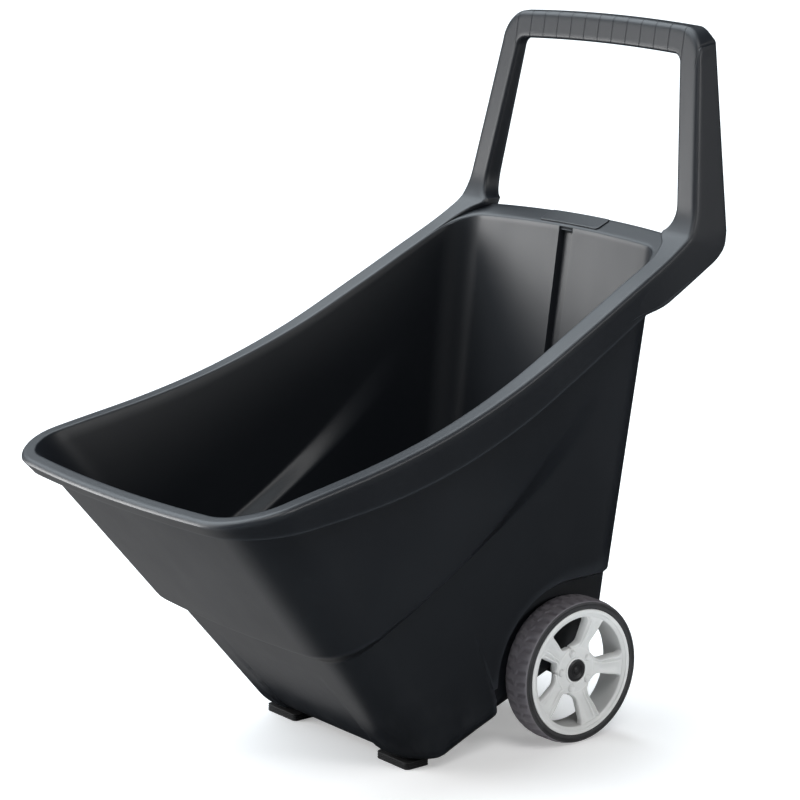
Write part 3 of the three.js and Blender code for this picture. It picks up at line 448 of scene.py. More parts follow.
class Placed:
    """A node in a tree, whose output sockets can be picked."""

    def __init__(self, tree: "Tree", node: bpy.types.Node) -> None:
        """Wraps one node."""
        self.tree = tree
        self.node = node

    def value(self, output: str | int = 0) -> Value:
        """Returns one of the node's outputs."""
        return Value(self.tree, self.node.outputs[output])


class Tree:
    """The node tree of one material."""

    def __init__(self, name: str) -> None:
        """Makes an empty material with that name."""
        self.material = bpy.data.materials.new(name)
        self.material.use_nodes = True
        self.nodes = self.material.node_tree.nodes
        self.links = self.material.node_tree.links
        self.nodes.clear()

    def add(self, kind: str, settings: dict[str, object], inputs: dict[str | int, object]) -> Placed:
        """Adds a node.

        Args:
            kind: the node's type.
            settings: properties of the node, set first.
            inputs: values or links of its input sockets, by name or number.

        Returns:
            The node.
        """
        node = self.nodes.new(kind)
        for key, setting in settings.items():
            setattr(node, key, setting)
        for key, source in inputs.items():
            if isinstance(source, Value):
                self.links.new(source.socket, node.inputs[key])
            else:
                node.inputs[key].default_value = source
        return Placed(self, node)

    def place(self) -> Value:
        """Returns the point's place on the piece, in metres."""
        return self.add("ShaderNodeTexCoord", {}, {}).value("Object")

    def axes(self) -> tuple[Value, Value, Value]:
        """Returns the point's x, y and z, in metres."""
        split = self.add("ShaderNodeSeparateXYZ", {}, {0: self.place()})
        return split.value(0), split.value(1), split.value(2)

    def noise(self, scale: float, detail: float = 2, rough: float = 0.5, spot: Value | None = None) -> Value:
        """Returns a noise between 0 and 1.

        Args:
            scale: waves per metre.
            detail: octaves added.
            rough: weight of the fine octaves.
            spot: where it is read, or nothing for the place on the piece.
        """
        inputs = {"Vector": spot or self.place(), "Scale": scale, "Detail": detail, "Roughness": rough}
        return self.add("ShaderNodeTexNoise", {}, inputs).value(0)

    def stretched(self, factors: tuple[float, float, float]) -> Value:
        """Returns the place on the piece, stretched along its axes."""
        inputs = {"Vector": self.place(), "Scale": factors}
        return self.add("ShaderNodeMapping", {}, inputs).value()

    def edges(self, low: float, high: float) -> Value:
        """Returns a mask of a piece's outward edges."""
        point = self.add("ShaderNodeNewGeometry", {}, {}).value("Pointiness")
        return point.above(low, high - low)

    def mix(self, share: object, a: object, b: object) -> Value:
        """Returns a colour between two colours."""
        rgba = [c if isinstance(c, Value) else (*c, 1) for c in (a, b)]
        settings = {"data_type": "RGBA", "clamp_factor": True}
        return self.add("ShaderNodeMix", settings, {0: share, 6: rgba[0], 7: rgba[1]}).value(2)

    def bump(self, height: Value, strength: float, distance: float, under: Value | None = None) -> Value:
        """Returns a normal raised by a height.

        Args:
            height: the height field, between 0 and 1.
            strength: how much of it shows.
            distance: its full height in metres.
            under: the normal that it is added to.
        """
        inputs: dict[str | int, object] = {"Strength": strength, "Distance": distance, "Height": height}
        if under is not None:
            inputs["Normal"] = under
        return self.add("ShaderNodeBump", {}, inputs).value()

    def surface(self, inputs: dict[str | int, object]) -> bpy.types.Material:
        """Ends the tree in one principled shader and returns the material."""
        shader = self.add("ShaderNodeBsdfPrincipled", {}, inputs)
        self.add("ShaderNodeOutputMaterial", {}, {"Surface": shader.value()})
        return self.material


@dataclass(frozen=True)
class MouldedPlastic:
    """An injection-moulded plastic with a fine grain, rubbed lighter along its edges."""

    name: str
    colour: Colour
    shade: Colour
    edge: Colour
    roughness: float
    grain: float = 0.00006
    pitch: float = 900
    specular: float = 0.5

    def material(self) -> bpy.types.Material:
        """Returns the finish as a material."""
        tree = Tree(self.name)
        cloud = tree.noise(5, 3)
        grain = tree.noise(self.pitch, 2, 0.6)
        flow = tree.noise(22, 4, 0.62, tree.stretched((1, 1, 0.35)))
        scuffs = tree.noise(60, 6, 0.75, tree.stretched((1, 0.3, 1.4))).above(0.6, 0.12)
        wear = tree.edges(0.515, 0.56)
        base = tree.mix(cloud.above(0.3, 0.4), self.shade, self.colour)
        base = tree.mix(flow.above(0.45, 0.3) * 0.25, base, self.shade)
        base = tree.mix(scuffs * 0.18 + wear * 0.35, base, self.edge)
        rough = flow * 0.1 + grain * 0.06 + (self.roughness - 0.08) - wear * 0.06 + scuffs * 0.05
        swell = tree.bump(tree.noise(14, 2), 0.25, 0.0006)
        normal = tree.bump(grain, 0.6, self.grain, swell)
        return tree.surface(
            {"Base Color": base, "Roughness": rough, "Normal": normal, "Specular IOR Level": self.specular}
        )


@dataclass(frozen=True)
class CartPlastic(MouldedPlastic):
    """The tub's plastic, with fine moulded grooves across the grip."""

    groove_pitch: float = 0.025
    grip_above: float = 0.79

    def material(self) -> bpy.types.Material:
        """Returns the finish as a material."""
        tree = Tree(self.name)
        x, _, z = tree.axes()
        cloud = tree.noise(4, 3)
        grain = tree.noise(self.pitch, 2, 0.6)
        flow = tree.noise(16, 4, 0.6, tree.stretched((1, 1, 0.3)))
        scuffs = tree.noise(46, 7, 0.78, tree.stretched((1, 0.35, 1.5))).above(0.6, 0.14)
        wear = tree.edges(0.512, 0.55)
        dust = z.below(0.16, 0.16) * tree.noise(30, 5, 0.7).above(0.42, 0.25)
        base = tree.mix(cloud.above(0.3, 0.4), self.shade, self.colour)
        base = tree.mix(flow.above(0.45, 0.3) * 0.3, base, self.shade)
        base = tree.mix(scuffs * 0.16 + wear * 0.32 + dust * 0.12, base, self.edge)
        rough = flow * 0.1 + grain * 0.07 + (self.roughness - 0.09) - wear * 0.06 + dust * 0.08
        groove = x.wrapped(self.groove_pitch).below(0.0009, 0.0007) * z.above(self.grip_above, 0.004)
        swell = tree.bump(tree.noise(7, 2), 0.3, 0.0012)
        cut = tree.bump(1 - groove, 0.8, 0.0008, swell)
        normal = tree.bump(grain, 0.6, self.grain, cut)
        return tree.surface(
            {"Base Color": base, "Roughness": rough, "Normal": normal, "Specular IOR Level": self.specular}
        )


@dataclass(frozen=True)
class Rubber:
    """A matt rubber, dusted in patches and rubbed smoother on its crests."""

    name: str
    colour: Colour
    dust: Colour
    roughness: float
    dusty: float = 0.4

    def material(self) -> bpy.types.Material:
        """Returns the finish as a material."""
        tree = Tree(self.name)
        grain = tree.noise(1400, 2, 0.6)
        patch = tree.noise(38, 5, 0.65)
        crest = tree.edges(0.5, 0.56)
        base = tree.mix(patch.above(0.35, 0.4) * self.dusty, self.colour, self.dust)
        base = tree.mix(crest * 0.35, base, self.dust)
        rough = patch * 0.12 + (self.roughness - 0.06) - crest * 0.1
        normal = tree.bump(grain, 0.5, 0.00008, tree.bump(patch, 0.2, 0.0005))
        return tree.surface(
            {"Base Color": base, "Roughness": rough, "Normal": normal, "Specular IOR Level": 0.35}
        )


@dataclass(frozen=True)
class PlatedSteel:
    """Zinc-plated steel with drawn lines around the axle and a cloudy passivation."""

    name: str
    colour: Colour
    shade: Colour
    roughness: float

    def material(self) -> bpy.types.Material:
        """Returns the finish as a material."""
        tree = Tree(self.name)
        lines = tree.noise(500, 3, 0.6, tree.stretched((3, 0.12, 0.12)))
        cloud = tree.noise(70, 4, 0.6)
        base = tree.mix(cloud.above(0.35, 0.35), self.shade, self.colour)
        rough = lines * 0.14 + cloud * 0.1 + (self.roughness - 0.1)
        normal = tree.bump(lines, 0.35, 0.00005)
        return tree.surface({"Base Color": base, "Roughness": rough, "Normal": normal, "Metallic": 1.0})


BODY_PLASTIC = CartPlastic(
    "cart_plastic", (0.0095, 0.0115, 0.0150), (0.0065, 0.0082, 0.0115), (0.038, 0.043, 0.050), 0.45
)
WHEEL_PLASTIC = MouldedPlastic(
    "wheel_plastic", (0.64, 0.645, 0.635), (0.55, 0.555, 0.55), (0.78, 0.78, 0.77), 0.4, grain=0.00003
)
BLACK_PLASTIC = MouldedPlastic(
    "black_plastic", (0.016, 0.016, 0.017), (0.010, 0.010, 0.011), (0.06, 0.06, 0.062), 0.42
)
BUSH_PLASTIC = MouldedPlastic(
    "bush_plastic", (0.70, 0.69, 0.64), (0.60, 0.59, 0.54), (0.80, 0.79, 0.75), 0.45
)
TYRE_RUBBER = Rubber("tyre_rubber", (0.135, 0.125, 0.140), (0.235, 0.225, 0.240), 0.8)
SIDEWALL_RUBBER = Rubber("sidewall_rubber", (0.022, 0.022, 0.024), (0.07, 0.07, 0.072), 0.62, 0.3)
FOOT_RUBBER = Rubber("foot_rubber", (0.009, 0.009, 0.010), (0.026, 0.026, 0.026), 0.85)
STEEL = PlatedSteel("plated_steel", (0.62, 0.63, 0.65), (0.48, 0.49, 0.52), 0.32)


def dress(piece: Piece, finish: object) -> Piece:
    """Gives a piece one finish, and returns it."""
    piece.data.materials.clear()
    piece.data.materials.append(material_of(finish))
    return piece


MADE: dict[str, bpy.types.Material] = {}


def material_of(finish: object) -> bpy.types.Material:
    """Returns a finish's material, made once."""
    if finish.name not in MADE:
        MADE[finish.name] = finish.material()
    return MADE[finish.name]


def place_piece(piece: Piece, body: str, nodes: Sequence[str]) -> None:
    """Hands a finished piece over to the frame.

    Args:
        piece: the object.
        body: the body that it rides on.
        nodes: the nodes that it stands for.
    """
    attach(piece, body)
    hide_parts(*nodes)
    LOG.info("%s: %d faces on %s", piece.name, len(piece.data.polygons), body)


# ---------------------------------------------------------------- outlines and heights


@dataclass(frozen=True)
class Outline:
    """A plan outline: bowed front, rear and sides with rounded corners."""

    front: float
    rear: float
    front_half: float
    rear_half: float
    front_bow: float
    rear_bow: float
    side_bow: float
    front_radius: float
    rear_radius: float

    def front_point(self, x: float) -> Vector:
        """Returns the point of the front edge at x."""
        return Vector((x, self.front - self.front_bow * (1 - (x / self.front_half) ** 2)))

    def rear_point(self, x: float) -> Vector:
        """Returns the point of the rear edge at x."""
        return Vector((x, self.rear + self.rear_bow * (1 - (x / self.rear_half) ** 2)))

    def side_point(self, t: float) -> Vector:
        """Returns the point of the right side at a share from its front to its rear corner."""
        start, end = Vector((self.front_half, self.front)), Vector((self.rear_half, self.rear))
        along = end - start
        out = Vector((along.y, -along.x)).normalized()
        return start + along * t + out * (self.side_bow * 4 * t * (1 - t))

    @staticmethod
    def corner(a: Vector, a_dir: Vector, b: Vector, b_dir: Vector, radius: float, steps: int) -> list[Vector]:
        """Rounds a corner between two points.

        Args:
            a: where it starts.
            a_dir: the direction there.
            b: where it ends.
            b_dir: the direction there.
            radius: the length of its sides.
            steps: how many points come back.

        Returns:
            The points, without the last one.
        """
        reach = 0.55 * radius
        p1, p2 = a + a_dir.normalized() * reach, b - b_dir.normalized() * reach
        points = []
        for i in range(steps):
            t = i / steps
            s = 1 - t
            points.append(a * s**3 + p1 * (3 * s * s * t) + p2 * (3 * s * t * t) + b * t**3)
        return points

    def whole(self, steps: "PlanSteps") -> list[tuple[Vector, Vector]]:
        """Samples the outline.

        Args:
            steps: how finely each stretch is cut.

        Returns:
            Points and outward directions, anticlockwise from the middle of the front.
        """
        length = (self.side_point(1) - self.side_point(0)).length
        t0, t1 = self.front_radius / length, 1 - self.rear_radius / length
        x0, x1 = self.front_half - self.front_radius, self.rear_half - self.rear_radius
        step = 0.01
        side_dir = [self.side_point(t + step) - self.side_point(t - step) for t in (t0, t1)]
        front_dir = self.front_point(x0 + 1) - self.front_point(x0 - 1)
        rear_dir = self.rear_point(x1 - 1) - self.rear_point(x1 + 1)
        right = [self.front_point(x0 * share) for share in spread(0, 1, steps.front)[:-1]]
        right += self.corner(
            self.front_point(x0), front_dir, self.side_point(t0), side_dir[0], self.front_radius, steps.corner
        )
        right += [self.side_point(t) for t in spread(t0, t1, steps.side)[:-1]]
        right += self.corner(
            self.side_point(t1), side_dir[1], self.rear_point(x1), rear_dir, self.rear_radius, steps.corner
        )
        right += [self.rear_point(x1 * share) for share in steps.rear_shares]
        points = right + [Vector((-p.x, p.y)) for p in reversed(right[1:-1])]
        result = []
        for i, point in enumerate(points):
            along = (points[(i + 1) % len(points)] - points[i - 1]).normalized()
            result.append((point, Vector((along.y, -along.x))))
        return result


@dataclass(frozen=True)
class PlanSteps:
    """How finely the stretches of a plan outline are cut."""

    front: int = 30
    corner: int = 12
    side: int = 76
    rear_shares: tuple[float, ...] = (
        1, 0.93, 0.86, 0.79, 0.72, 0.65, 0.58, 0.51, 0.44, 0.37, 0.3, 0.24, 0.19, 0.15, 0.125, 0.108,
        0.098, 0.09, 0.083, 0.076, 0.068, 0.056, 0.04, 0.02, 0,
    )


@dataclass
class Station:
    """One upright column of the tub's wall."""

    rim: Vector
    out: Vector
    floor: Vector
    top: Vector
    top_z: float
    bottom_z: float
    depth: float = 0.0
    band: float = 0.0
    step_z: float = 160.0

    @property
    def step_low(self) -> float:
        """Returns where the nesting step starts."""
        return self.step_z - self.band / 2

    @property
    def step_high(self) -> float:
        """Returns where the nesting step ends."""
        return self.step_z + self.band / 2

    def wall(self, z: float, offset: float, above: float) -> Vector:
        """Finds a point of the wall.

        Args:
            z: its height.
            offset: how far outside the wall's outer face it lies.
            above: 0 below the nesting step, 1 above it, between them on it.

        Returns:
            The point.
        """
        share = (z - self.bottom_z) / (self.top_z - self.bottom_z)
        flat = self.floor.lerp(self.top - self.out * self.depth, share)
        flat = flat + self.out * (offset + above * self.depth)
        return Vector((flat.x, flat.y, z))


@dataclass
class CartShape:
    """The outlines, heights and stations that the cart's moulding is made to."""

    lip_y: float = -376
    rim_back_y: float = 328
    grip_back_y: float = 376
    lip_z: float = 354
    tub_z: float = 598
    handle_z: float = 840
    wall: float = 4
    floor_z: float = 9.3
    floor_front_y: float = -65
    floor_flat: float = 44
    floor_slope: float = math.radians(21)
    floor_blend: float = 7
    step_depth: float = 17
    axle_y: float = 162
    axle_z: float = 88
    rim_outline: Outline = Outline(-361, 313, 243, 212, 15, 15, 6, 68, 58)
    floor_outline: Outline = Outline(-62, 223, 168, 176, 3, 8, -11, 55, 45)
    steps: PlanSteps = PlanSteps()
    rim_rise: SmoothCurve = SmoothCurve(
        (
            (0, 0), (0.1, 0.069), (0.3, 0.176), (0.44, 0.28),
            (0.585, 0.433), (0.727, 0.629), (0.87, 0.835), (1, 1),
        )
    )
    rim_widths: SmoothCurve = SmoothCurve(((-376, 17), (-286, 20), (-66, 23), (124, 29), (328, 30)))
    skirt_depths: SmoothCurve = SmoothCurve(((-376, 17), (-304, 30), (-164, 41), (36, 46), (328, 44)))
    stations: list[Station] = field(default_factory=list)

    def __post_init__(self) -> None:
        """Works out the stations."""
        rims = self.rim_outline.whole(self.steps)
        floors = self.floor_outline.whole(self.steps)
        self.stations = [self.station(rim, out, floor[0]) for (rim, out), floor in zip(rims, floors)]

    def rim_z(self, y: float) -> float:
        """Returns the height of the rim at y."""
        share = (y - self.lip_y) / (self.rim_back_y - self.lip_y)
        rise = self.rim_rise(share) + max(share - 1, 0)
        return lerp(self.lip_z, self.tub_z, rise)

    def floor_at(self, y: float) -> float:
        """Returns the height of the floor's underside at y."""
        rise = y - self.floor_front_y - self.floor_flat
        return self.floor_z - soft_min(-rise, 0, self.floor_blend) * math.tan(self.floor_slope)

    def step_at(self, y: float) -> float:
        """Returns the height of the nesting step on the wall at y."""
        back = max(y - self.lip_y - 213, 0)
        climb = 21 * smoothstep(y, self.lip_y + 175, self.lip_y + 223)
        return 160 + climb + 0.42 * back + 0.0007 * back**2

    def rim_half(self, y: float) -> float:
        """Returns half the rim's width at y, along its sides."""
        outline = self.rim_outline
        share = (y - outline.front) / (outline.rear - outline.front)
        return lerp(outline.front_half, outline.rear_half, share) + outline.side_bow * 4 * share * (1 - share)

    def station(self, rim: Vector, out: Vector, floor: Vector) -> Station:
        """Builds one station.

        Args:
            rim: its point on the rim's outline.
            out: the outward direction there.
            floor: its point on the floor's outline.

        Returns:
            The station, with the height, depth and band of its step.
        """
        top = rim + out * (self.wall - self.rim_widths(rim.y))
        made = Station(rim, out, floor, top, self.rim_z(top.y), self.floor_at(floor.y))
        z = made.step_z
        for _ in range(12):
            y = made.wall(z, 0, 0).y
            faded = smoothstep(y, self.lip_y + 330, self.lip_y + 590)
            made.depth = self.step_depth * (1 - faded)
            made.band = lerp(12, 46, faded)
            z = lerp(z, self.step_at(y), 0.7)
        made.step_z = min(z, made.top_z - self.skirt_depths(rim.y) - made.band)
        return made


# ---------------------------------------------------------------- tub


@dataclass
class Tub:
    """The moulded tub: sloping floor, stepped walls, wheel arches and the turned-down rim."""

    shape: CartShape
    floor_round: float = 16
    arch_x: float = 148
    arch_radius: float = 106
    arch_round: float = 7
    recess_half: float = 98
    recess_top: float = 132
    recess_depth: float = 9
    groove_half: float = 11
    groove_depth: float = 8
    rim_edge: float = 5
    rim_inner_edge: float = 3
    channel_half: float = 5.3
    foot_hole: float = 4.3
    foot_x: float = 110
    foot_stem_y: float = -31.5
    spine: tuple[float, float] = (-5, 150)
    channel_corners: int = 24
    floor_rings: int = 8
    fillet_rings: int = 6
    arch_rings: int = 12
    ledge_rings: int = 4
    ledge_rise: float = 0.01 * math.pi
    wall_rings: int = 14
    step_rings: int = 10
    step_margin: float = 3

    def in_arch(self, y: float, z: float) -> bool:
        """Says whether a place in the side view lies inside the wheel arch."""
        centre_y, centre_z = self.shape.axle_y, self.shape.axle_z
        if z > centre_z + self.arch_radius:
            return False
        if y > centre_y:
            return True
        if z < centre_z:
            return y > centre_y - self.arch_radius
        return (y - centre_y) ** 2 + (z - centre_z) ** 2 < self.arch_radius**2

    def ledge_z(self, s: Station) -> tuple[float, float]:
        """Finds where a station leaves the wheel arch.

        Args:
            s: the station.

        Returns:
            The height, and how far the station belongs to the arch, from 0 to 1.
        """
        low = s.bottom_z
        high = self.shape.axle_z + self.arch_radius + 40

        def y_at(z: float) -> float:
            """Returns the wall's place along the tub at height z."""
            return s.wall(z, 0, 0).y

        free = lerp(4, 0.35 * (s.step_z - s.bottom_z), smoothstep(56 - s.floor.y, 0, 60))
        default = s.bottom_z + self.floor_round + free
        if not self.in_arch(y_at(low + 0.5), low + 0.5):
            return default, 0
        for _ in range(24):
            middle = (low + high) / 2
            if self.in_arch(y_at(middle), middle):
                low = middle
            else:
                high = middle
        clear = s.bottom_z + self.shape.wall + self.floor_round + 2
        return max(low, clear), smoothstep(low - s.bottom_z, 14, 30)

    def held_in(self, point: Vector, share: float) -> Vector:
        """Returns a point held inside the wheel arch's wall, as far as its station belongs to it."""
        limit = self.arch_x - self.shape.wall
        if share and abs(point.x) > limit - 6:
            x = soft_min(abs(point.x), limit, 4)
            return Vector((math.copysign(lerp(abs(point.x), x, share), point.x), point.y, point.z))
        return point

    def relief(self, s: Station, point: Vector) -> Vector:
        """Returns a point of the inner wall, moved for the front hollow or the rear groove."""
        if s.out.y < -0.8:
            side = smoothstep(self.recess_half - abs(point.x), -2.5, 2.5)
            low = (self.recess_top - point.z) / self.recess_top
            depth = self.recess_depth * clamp(low) * smoothstep(self.recess_top - point.z, 0, 6)
            return point + Vector((0, side * depth, 0))
        if s.out.y > 0.8:
            side = smoothstep(self.groove_half - abs(point.x), -1, 1)
            tall = smoothstep(point.z, s.bottom_z + 36, s.bottom_z + 44)
            tall *= smoothstep(s.top_z - 4 - point.z, 0, 5)
            return point + Vector((0, side * tall * self.groove_depth, 0))
        return point

    def floor_part(self, s: Station, share: float) -> list[Vector]:
        """Lays out a station's floor, from the middle to the top of the rounding into the wall.

        Args:
            s: the station.
            share: how far the station belongs to the wheel arch.

        Returns:
            The points.
        """
        shape, wall, rise = self.shape, self.shape.wall, self.floor_round
        fillet = []
        for in_share, up_share in quarter(self.fillet_rings):
            inset = rise * in_share
            point = s.wall(s.bottom_z + wall + rise * up_share, -wall - inset, 0)
            limit = self.arch_x - wall - inset
            if abs(point.x) > limit:
                point.x = math.copysign(lerp(abs(point.x), limit, share), point.x)
            base = lerp(shape.floor_at(point.y), s.bottom_z, 1 - in_share)
            point.z = base + wall + rise * up_share
            fillet.append(point)
        spine = Vector((0, clamp(fillet[0].y, *self.spine), 0))
        rings = []
        for t in spread(1, 0, self.floor_rings)[:-1]:
            flat = fillet[0].lerp(spine, t)
            rings.append(Vector((flat.x, flat.y, shape.floor_at(flat.y) + wall)))
        return rings + fillet

    def arch_part(self, s: Station, ledge: float, share: float, start: float) -> list[Vector]:
        """Lays out a station's wall over the wheel arch, up to the nesting step.

        Args:
            s: the station.
            ledge: the height of the arch's top.
            share: how far the station belongs to the arch.
            start: the height where the floor's rounding ends.

        Returns:
            The points, evenly spaced where the station doesn't belong to the arch.
        """
        wall, low, step_foot = self.shape.wall, min(start, ledge), s.step_low - self.step_margin
        rings = []
        for t in spread(0, 1, self.arch_rings)[1:]:
            z = lerp(low, max(ledge - self.arch_round * share, low), t)
            rings.append(self.held_in(s.wall(z, -wall, 0), share))
        free = s.wall(ledge, -wall, 0)
        held = self.held_in(free, share)
        shelf = max(abs(free.x) - abs(held.x), 0)
        turn = min(self.arch_round, shelf / 2) * share
        for k, (out_share, up_share) in enumerate(quarter(self.ledge_rings)[1:], 1):
            nudge = self.ledge_rise * k / self.ledge_rings
            z = ledge + wall * share - turn * out_share + nudge
            rings.append(Vector((math.copysign(abs(held.x) + turn * up_share, free.x), free.y, max(z, low))))
        lift = ledge + (wall + 2) * share + 2
        outward = s.wall(lift, -wall, 0)
        for t in (0.35, 0.7, 0.9):
            point = rings[-1].lerp(outward, t)
            point.z = lerp(rings[-1].z, lift, t**4)
            rings.append(point)
        rings += [s.wall(lerp(lift, step_foot, t), -wall, 0) for t in spread(0, 1, self.wall_rings)[1:]]
        if share < 1:
            for k, z in enumerate(spread(start, step_foot, len(rings))[1:]):
                rings[k] = s.wall(z, -wall, 0).lerp(rings[k], share)
        return rings

    def column(self, s: Station) -> list[Vector]:
        """Lays out one station's inner side from the floor's middle to the skirt's edge.

        Args:
            s: the station.

        Returns:
            The points, as many at every station.
        """
        wall, margin = self.shape.wall, self.step_margin
        ledge, share = self.ledge_z(s)
        rings = self.floor_part(s, share)
        rings += self.arch_part(s, ledge, share, rings[-1].z)
        for t in spread(0, 1, self.step_rings)[1:-1]:
            z = lerp(s.step_low - margin, s.step_high + margin, t)
            on = clamp((z - s.step_low) / s.band)
            on = lerp(on, smoothstep(z, s.step_low - margin / 2, s.step_high + margin / 2), 0.45)
            rings.append(s.wall(z, -wall, on))
        for z in spread(s.step_high + margin, s.top_z - self.rim_inner_edge, self.wall_rings):
            rings.append(s.wall(z, -wall, 1))
        for i, point in enumerate(rings):
            rings[i] = self.relief(s, point)
            if i < self.floor_rings:
                rings[i] = point.lerp(rings[i], i / self.floor_rings)
                rings[i].z = self.shape.floor_at(rings[i].y) + wall
        return rings + self.rim_points(s)

    def rim_points(self, s: Station) -> list[Vector]:
        """Lays out one station's rim, from its inner rounding to the lower edge of its skirt.

        Args:
            s: the station.

        Returns:
            The points.
        """
        shape, edge, inner = self.shape, self.rim_edge, self.rim_inner_edge
        width, depth = shape.rim_widths(s.rim.y), shape.skirt_depths(s.rim.y)

        def on_rim(inset: float, drop: float) -> Vector:
            """Returns a point of the rim by its inset and its drop below the top."""
            flat = s.rim - s.out * inset
            return Vector((flat.x, flat.y, shape.rim_z(flat.y) - drop))

        points = [on_rim(width - inner * b, inner * a) for a, b in quarter(4)[1:]]
        points += [on_rim(lerp(width - inner, edge, t), 0) for t in (0.2, 0.5, 0.8)]
        points += [on_rim(edge * a, edge * b) for a, b in quarter(5)]
        lean = (s.floor - s.top) * (0.8 * depth / (s.top_z - s.bottom_z))
        start = points[-1]
        flat = s.rim + lean
        foot = Vector((flat.x, flat.y, shape.rim_z(s.rim.y) - depth))
        points += [start.lerp(foot, t) for t in (0.2, 0.45, 0.7, 0.92, 1)]
        return points

    def build(self) -> Piece:
        """Builds the tub's shell.

        Returns:
            The shell; the axle's channel and the holes for the feet are cut later, in finish.
        """
        sheet = sheet_of("tub_moulding", [self.column(s) for s in self.shape.stations], closed=True)
        closed_up(sheet, 2 * WELD)
        faces_towards(sheet, Vector((0, 60, self.shape.floor_at(60) + 4)), Vector((0, 0, 1)))
        apply_modifier(sheet, "SOLIDIFY", thickness=self.shape.wall * MM, offset=-1, use_rim=True)
        return sheet

    def channel_ridge(self, half: float, drop: float, reach: float, name: str) -> Piece:
        """Builds a round-topped bar along the axle.

        Args:
            half: half its width.
            drop: how far it reaches below the axle.
            reach: half its length.
            name: the object's name.

        Returns:
            The bar.
        """
        slope = Matrix.Rotation(self.shape.floor_slope, 3, "X")
        middle = Vector((-reach, self.shape.axle_y, self.shape.axle_z))
        corners = []
        for angle in spread(0, 2 * math.pi, self.channel_corners)[:-1]:
            across, up = half * math.cos(angle), half * math.sin(angle)
            if up < -0.01:
                across, up = math.copysign(half, across) if abs(across) > 0.1 else 0, -drop
            corners.append(middle + slope @ Vector((0, across, up)))
        bar = ring_of(name, corners, filled=True)
        with editing(bar):
            bpy.ops.mesh.remove_doubles(threshold=WELD * MM)
            bpy.ops.mesh.select_mode(type="FACE")
            bpy.ops.mesh.select_all(action="SELECT")
            bpy.ops.mesh.extrude_region_move(TRANSFORM_OT_translate={"value": (2 * reach * MM, 0, 0)})
        return closed_up(bar)

    def finish(self, moulding: Piece) -> Piece:
        """Cuts the channel and the holes into the moulding and dresses it.

        Args:
            moulding: the tub with its handle.

        Returns:
            The finished piece.
        """
        wall = self.shape.wall
        ridge = self.channel_ridge(self.channel_half + wall, 8, self.arch_x - 1, "ridge")
        boolean(moulding, ridge, Combine.JOIN)
        slot = self.channel_ridge(self.channel_half, 40, self.arch_x + 60, "slot")
        boolean(moulding, slot, Combine.CUT)
        for side in (-1, 1):
            middle = (side * self.foot_x, self.foot_stem_y, self.shape.floor_z)
            boolean(moulding, rod("foot_hole", self.foot_hole, middle, 40), Combine.CUT)
        smooth(moulding, 34)
        return dress(moulding, BODY_PLASTIC)


# ---------------------------------------------------------------- handle


@dataclass
class Section:
    """One section of the handle: its front and back outer corners, its inner front and its lip."""

    front: Vector
    back: Vector
    inner: Vector
    lip: Vector

    def at(self, t: float, s: float) -> Vector:
        """Returns a point: t runs from the outer side to the inner, s from front to back."""
        return self.front.lerp(self.inner, t).lerp(self.back.lerp(self.lip, t), s)

    def flipped(self) -> "Section":
        """Returns the section on the other side of the plane x = 0."""
        return Section(*(Vector((-p.x, p.y, p.z)) for p in (self.front, self.back, self.inner, self.lip)))


